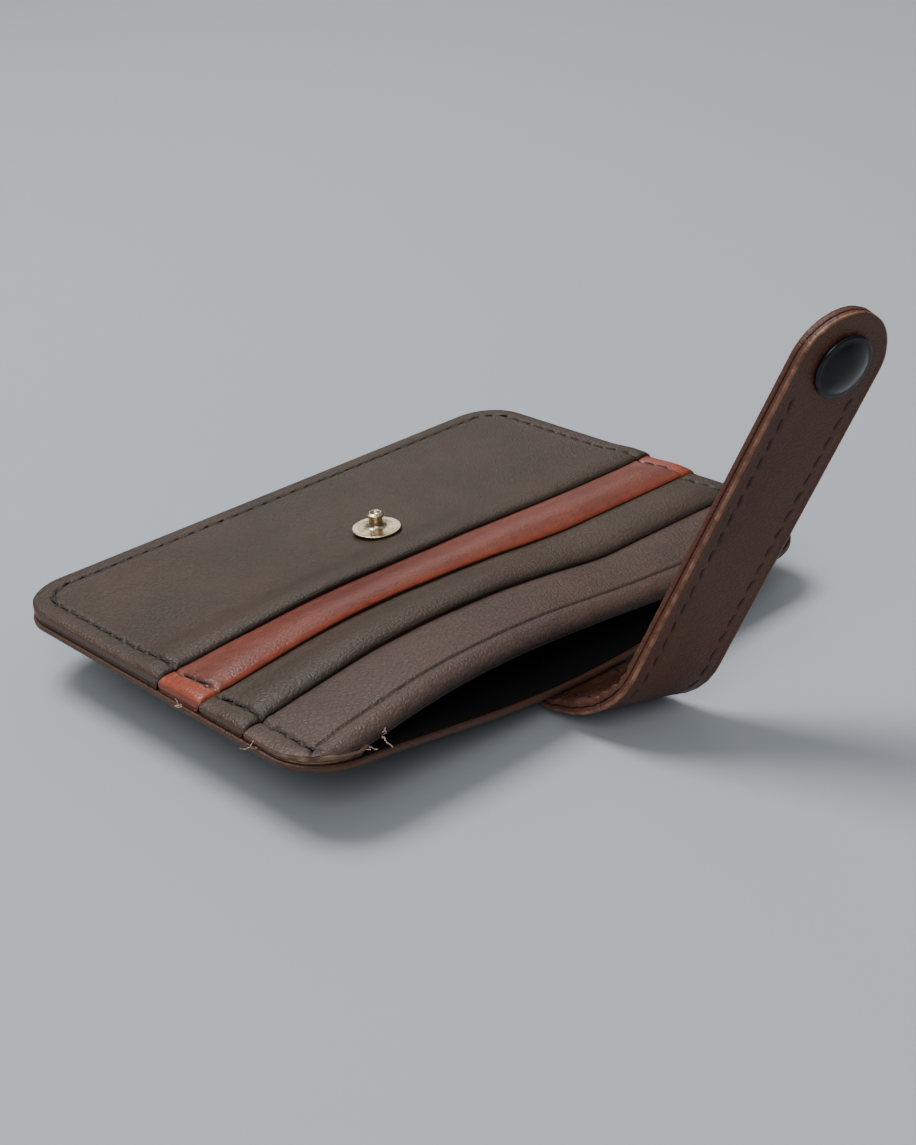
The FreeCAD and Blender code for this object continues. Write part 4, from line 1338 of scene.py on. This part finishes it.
@dataclass
class Strap:
    """The two-layer strap, sewn to the back cover and folded over the mouth."""

    path: StrapPath
    finishes: Finishes
    width: float = 17.0
    seam_inset: float = 2.8
    stitch_pitch: float = 3.1
    stitch_length: float = 1.9
    slant: float = 0.16
    first_stitch: float = 4.0
    pit_radius: float = 3.75
    pit_roof: float = -0.03
    lower_ease: tuple[float, float] = (4.5, 6.0)
    upper_ease: tuple[float, float] = (6.0, 4.5)

    @property
    def snap_at(self) -> float:
        """Return where the snap sits along the strap."""
        return self.path.upper_at + self.path.snap_reach

    def slits(self) -> list[tuple[float, float]]:
        """Return (distance, offset) of every stitch on the outer layer."""
        found = []
        last = self.snap_at - 5.5
        offset = self.width / 2 - self.seam_inset
        count = int((last - self.first_stitch) / self.stitch_pitch)
        for i in range(count + 1):
            place = self.first_stitch + i * self.stitch_pitch
            found += [(place, -offset), (place + 1.3, offset)]
        return found

    def half_width(self, s: float) -> float:
        """Return half the strap's width, round at the tip and at the sewn end's corners."""
        half = self.width / 2
        past = s - (self.path.tip_at - half)
        if past > 0:
            return math.sqrt(max(half * half - past * past, 0.0))
        corner = 3.0
        if s < corner:
            back = corner - s
            return half - corner + math.sqrt(max(corner ** 2 - back ** 2, 0.0))
        return half

    def rows(self, start: float, end: float) -> list[float]:
        """Return distances of the mesh's rows between two places."""
        half = self.width / 2
        round_from = self.path.tip_at - half
        stop = min(end, round_from)
        count = round((stop - start) / 0.36)
        found = [start + (stop - start) * i / count for i in range(count + 1)]
        if end > round_from:
            steps = 30
            found += [round_from + half * math.sin(TIP_ANGLE * (i + 1) / steps)
                      for i in range(steps)]
        return found

    def wrinkle(self, layer: Layer, s: float, offset: float) -> float:
        """Return the crumpling of the inner layer inside the bend."""
        if layer is not Layer.INNER:
            return 0.0
        inside = bell(s - self.path.cut_at, 11.0)
        edge = 0.45 + 0.55 * smooth((abs(offset) - 4.0) / 4.0)
        wave = math.sin(2 * math.pi * (s + 1.1 * wander(s, offset, 3.0, 5.0)) / 2.3
                        + 0.25 * offset)
        return -0.36 * inside * edge * (0.6 * wave + 0.9 * wander(s, offset * 0.7, 1.7, 9.0))

    def slit_relief(self, s: float, offset: float, near: list[tuple[float, float]]
                    ) -> tuple[float, float]:
        """Return the relief and the painted shade of the stitch slits near a point."""
        relief = painted_shade = 0.0
        for place, side in near:
            ds, dx = s - place, offset - side
            lean = dx - math.copysign(self.slant, side) * ds
            reach = smooth((self.stitch_length / 2 + 0.2 - abs(ds)) / 0.45)
            relief = min(relief, -0.34 * bell(lean, 0.23) * reach)
            # Painted shade in the slit.
            painted_shade = max(painted_shade, bell(lean, 0.17) * reach)
        return relief, painted_shade

    def layer_piece(self, layer: Layer, part: str, start: float, end: float) -> bpy.types.Object:
        """Build a stretch of one layer.

        Args:
            layer: which layer.
            part: "lower" or "upper".
            start: where it starts along the strap.
            end: where it ends.

        Returns:
            The piece, not tied to a body.
        """
        word, low, high = layer.value
        columns = Columns(stops((1.2, 0.25), (2.1, 0.3), (3.5, 0.14), (4.2, 0.35)), 16)
        rows = self.rows(start, end)
        shape, records = slab(columns.count, len(rows) - 1, 4)
        paint = Painter()
        slits = self.slits() if layer is Layer.OUTER else []
        ends_free = (part == "lower", part == "upper")
        for vertex, where in zip(shape.verts, records):
            s = rows[where.row]
            half = self.half_width(s)
            offset = columns.place(where.column, half, half / (self.width / 2))
            rounding = RIM_ROUND * where.level ** 2
            at_side = where.column in (0, columns.count)
            if layer is Layer.INNER and abs(offset) > half - 2.0:
                crumple = bell(s - self.path.cut_at, 9.0) * smooth((abs(offset) - half + 2) / 2)
                offset -= math.copysign(crumple * (0.12 + 0.22 * wander(s, 0.0, 1.5, 17.0)),
                                        offset)
            if at_side:
                offset -= math.copysign(rounding, offset)
                if s > self.path.tip_at - self.width / 2:
                    s -= rounding * smooth((s - self.path.tip_at + self.width / 2) / 4.0)
            elif where.row == 0 and ends_free[0]:
                s += rounding
            elif where.row == len(rows) - 1 and ends_free[1]:
                s -= rounding
            gap = min(half - abs(offset), (self.path.tip_at - s) if part == "upper" else s)
            fall = shoulder(gap, 0.42, 0.28 if layer is Layer.OUTER else 0.12)
            rise = shoulder(gap, 0.42, 0.12 if layer is Layer.OUTER else 0.28)
            height = ((low + rise + high - fall) / 2
                      + (high - fall - low - rise) / 2 * where.level)
            # Painted shade in the stitch slits, on the outer layer's face only.
            painted_shade = 0.0
            if where.level > 0.9 and slits:
                near = [p for p in slits if abs(p[0] - s) < 2.2]
                relief, painted_shade = self.slit_relief(s, offset, near)
                gap = self.width / 2 - abs(offset)
                height += relief - 0.05 * bell(gap - 1.15, 0.3) + 0.07 * bell(gap - 0.5, 0.5)
            if where.level < 0 or layer is Layer.INNER:
                height += self.wrinkle(layer, s, offset) * (1 if where.level < 0 else 0.35)
            if layer is Layer.INNER and math.hypot(s - self.snap_at, offset) < self.pit_radius:
                height = max(height, self.pit_roof + 0.02 * where.level)
            here = self.path.at(s)
            vertex.co = here.centre + here.across * offset + here.out * height
            self.paint_vertex(paint, vertex.index, where, layer, s, offset, painted_shade)
        return finish_piece(f"strap_{word}_{part}", shape, self.finishes.strap, paint)

    def paint_vertex(self, paint: Painter, index: int, where: SlabVertex, layer: Layer,
                     s: float, offset: float, painted_shade: float) -> None:
        """Paint the burnished edge with a painted highlight, the raw sides, and the painted shade between
        the layers and in the slits on one vertex.
        """
        patch = 0.5 + 0.5 * wander(s, offset, 4.0, 31.0)
        gap = self.half_width(s) - abs(offset)
        bend = bell(s - self.path.cut_at, 14.0)
        if layer is Layer.OUTER and where.level > 0.5 and gap < 0.4:
            # Paler burnished outer edge: wear, partly a painted highlight.
            paint.put("edge", index, 0.35 + 0.4 * patch + 0.5 * wander(s, offset, 1.3, 37.0))
        elif where.on_rim:
            paint.put("raw", index, clamp(0.55 + 0.25 * patch + 0.3 * bend))
            paint.put("edge", index, bend * clamp(0.45 + 0.6 * wander(s, offset, 1.2, 43.0)))
        elif layer is Layer.INNER and where.level < 0:
            paint.put("raw", index, 0.35 * bend * patch)
        # Painted shade on the faces where the two layers meet, standing for the dark gap between them.
        if where.on_rim and abs(where.level) > 0.9 and (where.level < 0) == (layer is Layer.OUTER):
            paint.put("painted_shade", index, 0.8)
        # Painted shade in the stitch slits.
        paint.put("painted_shade", index, painted_shade)

    def threads(self, part: str, start: float, end: float) -> bpy.types.Object:
        """Build the stitches between two places."""
        shape = bmesh.new()
        for s, offset in self.slits():
            if not start <= s < end:
                continue
            here = self.path.at(s)
            lean = math.copysign(self.slant, offset)
            along = (here.along + here.across * lean).normalized()
            centre = here.centre + here.across * offset + here.out * (self.path.half - 0.24)
            add_stitch(shape, centre, along, here.out, self.stitch_length, 0.32, 0.35)
        for s in [self.first_stitch + i * self.stitch_pitch for i in range(40)]:
            if not start <= s < end or s > self.path.upper_at + 46:
                continue
            here = self.path.at(s)
            for side in (-1, 1):
                offset = side * (self.width / 2 - self.seam_inset)
                under = here.centre + here.across * offset - here.out * (self.path.half - 0.02)
                add_stitch(shape, under, here.along, -here.out, self.stitch_length, 0.42, 0.45)
        return finish_piece(f"strap_thread_{part}", shape, self.finishes.thread)

    def bends(self, piece: bpy.types.Object, lower: bool, slot: Slot, *nodes: str) -> None:
        """Bake a piece's place into its mesh, hide the nodes that it stands for, and log which fold it
        belongs to.
        """
        place, ahead = self.path.fold_line(lower)
        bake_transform(piece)
        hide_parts(*nodes)
        LOG.info("%s bends at the %s fold, %d faces", piece.name, "lower" if lower else "upper",
                 len(piece.data.polygons))

    def build(self) -> None:
        """Build both layers and their stitches, each in two pieces that meet in the bend."""
        cut, tip = self.path.cut_at, self.path.tip_at
        last = tip - self.width / 2 + self.width / 2 * math.sin(TIP_ANGLE)
        for layer, node in ((Layer.OUTER, "outer"), (Layer.INNER, "lining")):
            self.bends(self.layer_piece(layer, "lower", 0.0, cut), True, Slot.STRAP,
                       f"strap_root_{node}", f"strap_bend_{node}")
            self.bends(self.layer_piece(layer, "upper", cut, last), False, Slot.STRAP,
                       f"strap_arm_{node}")
        self.bends(self.threads("lower", 0.0, cut), True, Slot.THREAD,
                   "strap_root_stitches", "strap_bend_stitches")
        self.bends(self.threads("upper", cut, tip), False, Slot.THREAD, "strap_arm_stitches")


# --- snap fastener ------------------------------------------------------------------------------------


@dataclass
class Snap:
    """The stud on the front, and the cap and socket on the strap."""

    path: StrapPath
    pockets: Pockets
    finishes: Finishes
    cap_radius: float = 4.9
    cap_height: float = 1.9
    flange_radius: float = 4.3
    head_radius: float = 1.55
    stud_height: float = 2.7
    socket_radius: float = 4.2
    socket_height: float = 1.8
    bore: float = 2.45

    def arm_place(self, height: float) -> Matrix:
        """Return the place over the strap's middle, with Z out of its outer face."""
        path = self.path
        turn = Matrix((path.arm_across, path.arm_along, path.arm_out)).transposed().to_4x4()
        centre = path.upper + path.arm_along * path.snap_reach + path.arm_out * height
        return Matrix.Translation(centre) @ turn

    def cap(self) -> None:
        """Build the domed cap, rolled under at its rim."""
        r, dome = self.cap_radius, self.cap_height - 0.75
        profile = [(0, 0.06), (r - 1.0, 0.06), (r - 0.62, 0.02), (r - 0.38, 0.06)]
        profile += rounded_corner((r - 0.4, 0.44), 0.4, -70, 70, 7)
        profile += [(r - 0.48, 0.84), (r - 0.62, 0.83)]
        sphere = ((r - 0.62) ** 2 + dome ** 2) / (2 * dome)
        reach = math.asin((r - 0.62) / sphere)
        for i in range(1, 14):
            a = reach * (1 - i / 14)
            profile.append((sphere * math.sin(a), self.cap_height - sphere * (1 - math.cos(a))))
        profile.append((0, self.cap_height))

        def worn(radius: float, height: float) -> float:
            """Return the wear of the cap's rim."""
            return 0.7 * bell(radius - (r - 0.1), 0.22)

        piece = turned("snap_cap", profile, self.arm_place(self.path.half),
                       self.finishes.enamel, 96, worn)
        rides(piece, Body.ARM, Slot.CAP, "snap_cap")

    def socket(self) -> None:
        """Build the socket, a stamped cup with a rolled rim and the spring in its groove."""
        foot = -self.path.half - self.socket_height
        r, bore = self.socket_radius, self.bore
        profile = [(0, -0.06), (bore + 0.25, -0.06), (bore + 0.33, -0.14),
                   (bore + 0.33, -self.path.half - 0.02), (r, -self.path.half - 0.02)]
        profile += [(r + 0.02, -self.path.half - 0.4), (r - 0.1, foot + 0.55)]
        profile += rounded_corner((r - 0.42, foot + 0.36), 0.34, 0, -90, 5)
        profile += [(bore + 0.5, foot + 0.12)]
        profile += rounded_corner((bore + 0.22, foot + 0.26), 0.22, -90, -180, 5)
        profile += [(bore, -self.path.half - 1.1), (bore + 0.25, -self.path.half - 0.8),
                    (bore, -self.path.half - 0.5), (bore, -0.28), (bore - 0.08, -0.2),
                    (0, -0.2)]
        piece = turned("snap_socket", profile, self.arm_place(0.0), self.finishes.metal, 72)
        rides(piece, Body.ARM, Slot.METAL, "snap_socket")

    def stud(self) -> None:
        """Build the stud: a beaded flange and a hollow mushroom post."""
        low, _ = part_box("snap_stud")
        place = Matrix.Translation(Vector((self.pockets.stud[0], self.pockets.stud[1],
                                           low[2] / MM)))
        r, head = self.flange_radius, self.head_radius
        top = 0.4 + self.stud_height
        profile = [(0, 0.0), (r - 0.5, 0.0), (r - 0.12, 0.04)]
        profile += rounded_corner((r - 0.16, 0.2), 0.16, -80, 80, 5)
        profile += [(r - 0.5, 0.34), (r - 0.75, 0.27), (r - 1.1, 0.33), (2.4, 0.4)]
        profile += [(1.75, 0.46), (1.4, 0.62), (1.2, 0.9), (1.15, top - 1.1)]
        profile += [(1.22, top - 0.98), (head - 0.08, top - 0.82)]
        profile += rounded_corner((head - 0.3, top - 0.5), 0.3, -30, 60, 6)
        profile += [(head - 0.42, top - 0.06)]
        profile += rounded_corner((head - 0.6, top - 0.2), 0.2, 80, 170, 4)
        profile += [(head - 0.86, top - 0.5), (0, top - 0.55)]
        piece = turned("snap_stud", profile, place, self.finishes.metal, 72)
        rides(piece, Body.WALLET, Slot.METAL, "snap_stud")

    def hidden_metal(self) -> None:
        """Give the small hidden metal pieces their finish."""
        for node in ("stud_rivet", "cap_post", "snap_spring"):
            piece = frame["nodes"][node]
            piece.data.materials.clear()
            piece.data.materials.append(self.finishes.metal)
            LOG.info("%s is plated", node)

    def build(self) -> None:
        """Build the snap."""
        self.stud()
        self.cap()
        self.socket()
        self.hidden_metal()


@dataclass
class FrayedEnds:
    """Thread ends that stick out where the seam starts at the near left corner."""

    pockets: Pockets
    finishes: Finishes
    diameter: float = 0.16

    def strand(self, shape: bmesh.types.BMesh, points: list[Vector]) -> None:
        """Add one strand through a few points."""
        samples = []
        for i in range(len(points) - 1):
            p0, p1 = points[max(i - 1, 0)], points[i]
            p2, p3 = points[i + 1], points[min(i + 2, len(points) - 1)]
            for k in range(5):
                t = k / 5
                samples.append(0.5 * ((2 * p1) + (p2 - p0) * t
                                      + (2 * p0 - 5 * p1 + 4 * p2 - p3) * t * t
                                      + (3 * p1 - p0 - 3 * p2 + p3) * t ** 3))
        samples.append(points[-1])
        rings = []
        for i, centre in enumerate(samples):
            ahead = samples[min(i + 1, len(samples) - 1)] - samples[max(i - 1, 0)]
            turn = ahead.to_track_quat("Z", "Y").to_matrix().to_4x4()
            made = bmesh.ops.create_circle(shape, segments=6, radius=self.diameter / 2)
            bmesh.ops.transform(shape, matrix=Matrix.Translation(centre) @ turn,
                                verts=made["verts"])
            rings.append(made["verts"])
        close_tube(shape, rings)

    def build(self) -> None:
        """Build the tufts."""
        form = self.pockets.form
        rng = random.Random(11)
        shape = bmesh.new()
        tufts = [(Vector((-42.0, form.mouth + 0.4, 2.1)), Vector((0.5, -1.0, 0.2)), 5, 1.6),
                 (Vector((-44.5, form.mouth + 0.3, 1.7)), Vector((-0.1, -1.0, 0.1)), 3, 1.0),
                 (Vector((-54.6, -26.6, 1.2)), Vector((-1.0, -0.3, -0.2)), 4, 1.2),
                 (Vector((-54.7, -8.8, 1.25)), Vector((-1.0, 0.1, 0.1)), 4, 0.8)]
        for root, way, count, size in tufts:
            for _ in range(count):
                points = [root + Vector((rng.uniform(-0.5, 0.5), rng.uniform(0, 0.5),
                                         rng.uniform(-0.15, 0.15)))]
                heading = way.normalized()
                for _ in range(4):
                    swerve = Vector((rng.uniform(-1, 1), rng.uniform(-1, 1),
                                     rng.uniform(-0.6, 0.8)))
                    heading = (heading + swerve * 0.75).normalized()
                    points.append(points[-1] + heading * size * rng.uniform(0.25, 0.5))
                self.strand(shape, points)
        piece = finish_piece("frayed_ends", shape, self.finishes.frayed)
        rides(piece, Body.WALLET, Slot.THREAD)


# --- studio ---------------------------------------------------------------------------------------------


@dataclass
class Studio:
    """The floor, the soft lights and the camera; millimetres and degrees."""

    eye: Point = (-180.83, -221.80, 138.61)
    target: Point = (0.45, -9.42, 2.2)
    roll: float = -4.63
    lens: float = 59.26
    sensor: float = 36.0
    horizon: str = "#3c4046"
    zenith: str = "#f2f4f6"

    def camera(self) -> None:
        """Place the camera."""
        eye, target = Vector(self.eye), Vector(self.target)
        ahead = (target - eye).normalized()
        right = ahead.cross(Vector((0, 0, 1))).normalized()
        up = right.cross(ahead)
        lean = math.radians(self.roll)
        right, up = (right * math.cos(lean) + up * math.sin(lean),
                     up * math.cos(lean) - right * math.sin(lean))
        data = bpy.data.cameras.new("camera")
        data.lens = self.lens
        data.sensor_width = self.sensor
        data.sensor_height = self.sensor
        data.sensor_fit = "AUTO"
        data.clip_start = 0.01
        camera = bpy.data.objects.new("camera", data)
        place = Matrix((right, up, -ahead)).transposed().to_4x4()
        place.translation = eye * MM
        camera.matrix_world = place
        bpy.context.scene.collection.objects.link(camera)
        bpy.context.scene.camera = camera

    def light(self, name: str, place: Point, towards: Point, size: float, power: float,
              colour: tuple[float, float, float]) -> None:
        """Add a soft square lamp; place and size in metres."""
        data = bpy.data.lights.new(name, "AREA")
        data.shape = "SQUARE"
        data.size = size
        data.energy = power
        data.color = colour
        lamp = bpy.data.objects.new(name, data)
        away = Vector(place) - Vector(towards)
        lamp.matrix_world = (Matrix.Translation(Vector(place))
                             @ away.to_track_quat("Z", "Y").to_matrix().to_4x4())
        bpy.context.scene.collection.objects.link(lamp)

    def floor(self) -> None:
        """Lay the pale floor under the lowest point."""
        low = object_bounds()[0][2]
        shape = bmesh.new()
        bmesh.ops.create_grid(shape, x_segments=1, y_segments=1, size=6.0 / MM)
        bmesh.ops.translate(shape, verts=shape.verts[:], vec=(0, 0, low / MM - 0.05))
        piece = finish_piece("floor", shape, Backdrop().build(), recalculate=False)
        piece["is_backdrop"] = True

    def build(self) -> None:
        """Set the studio up."""
        self.camera()
        self.floor()
        self.light("key", (-0.1, 0.45, 1.1), (0, 0, 0), 0.5, 15.0, (1.0, 0.985, 0.96))
        self.light("fill", (-0.6, -0.6, 0.7), (0, 0, 0), 0.6, 5.0, (0.98, 0.99, 1.0))
        self.light("rim", (0.65, 0.8, 0.55), (0, 0, 0.02), 0.35, 1.0, (1.0, 0.99, 0.98))
        world = bpy.data.worlds.new("soft_room")
        world.use_nodes = True
        tree = world.node_tree
        sky = tree.nodes["Background"]
        way = add_node(tree, "TexCoord", output="Generated")
        height = add_node(tree, "SeparateXYZ", (way,), "Z")
        rising = add_node(tree, "MapRange", (height, 0.1, 0.95))
        shade = add_node(tree, "Mix", {0: rising, 6: linear(self.horizon),
                                       7: linear(self.zenith)}, 2, data_type="RGBA")
        tree.links.new(shade, sky.inputs["Color"])
        sky.inputs["Strength"].default_value = 0.55
        bpy.context.scene.world = world


def main() -> None:
    """Build everything in order."""
    logging.basicConfig(level=logging.INFO, format="%(name)s: %(message)s")
    form = Form()
    finishes = Finishes()
    pockets = Pockets(form, finishes)
    pockets.build()
    BackCover(form, finishes).build()
    path = StrapPath(form)
    Strap(path, finishes).build()
    Snap(path, pockets, finishes).build()
    FrayedEnds(pockets, finishes).build()
    Studio().build()


if __name__ == "__main__":
    main()
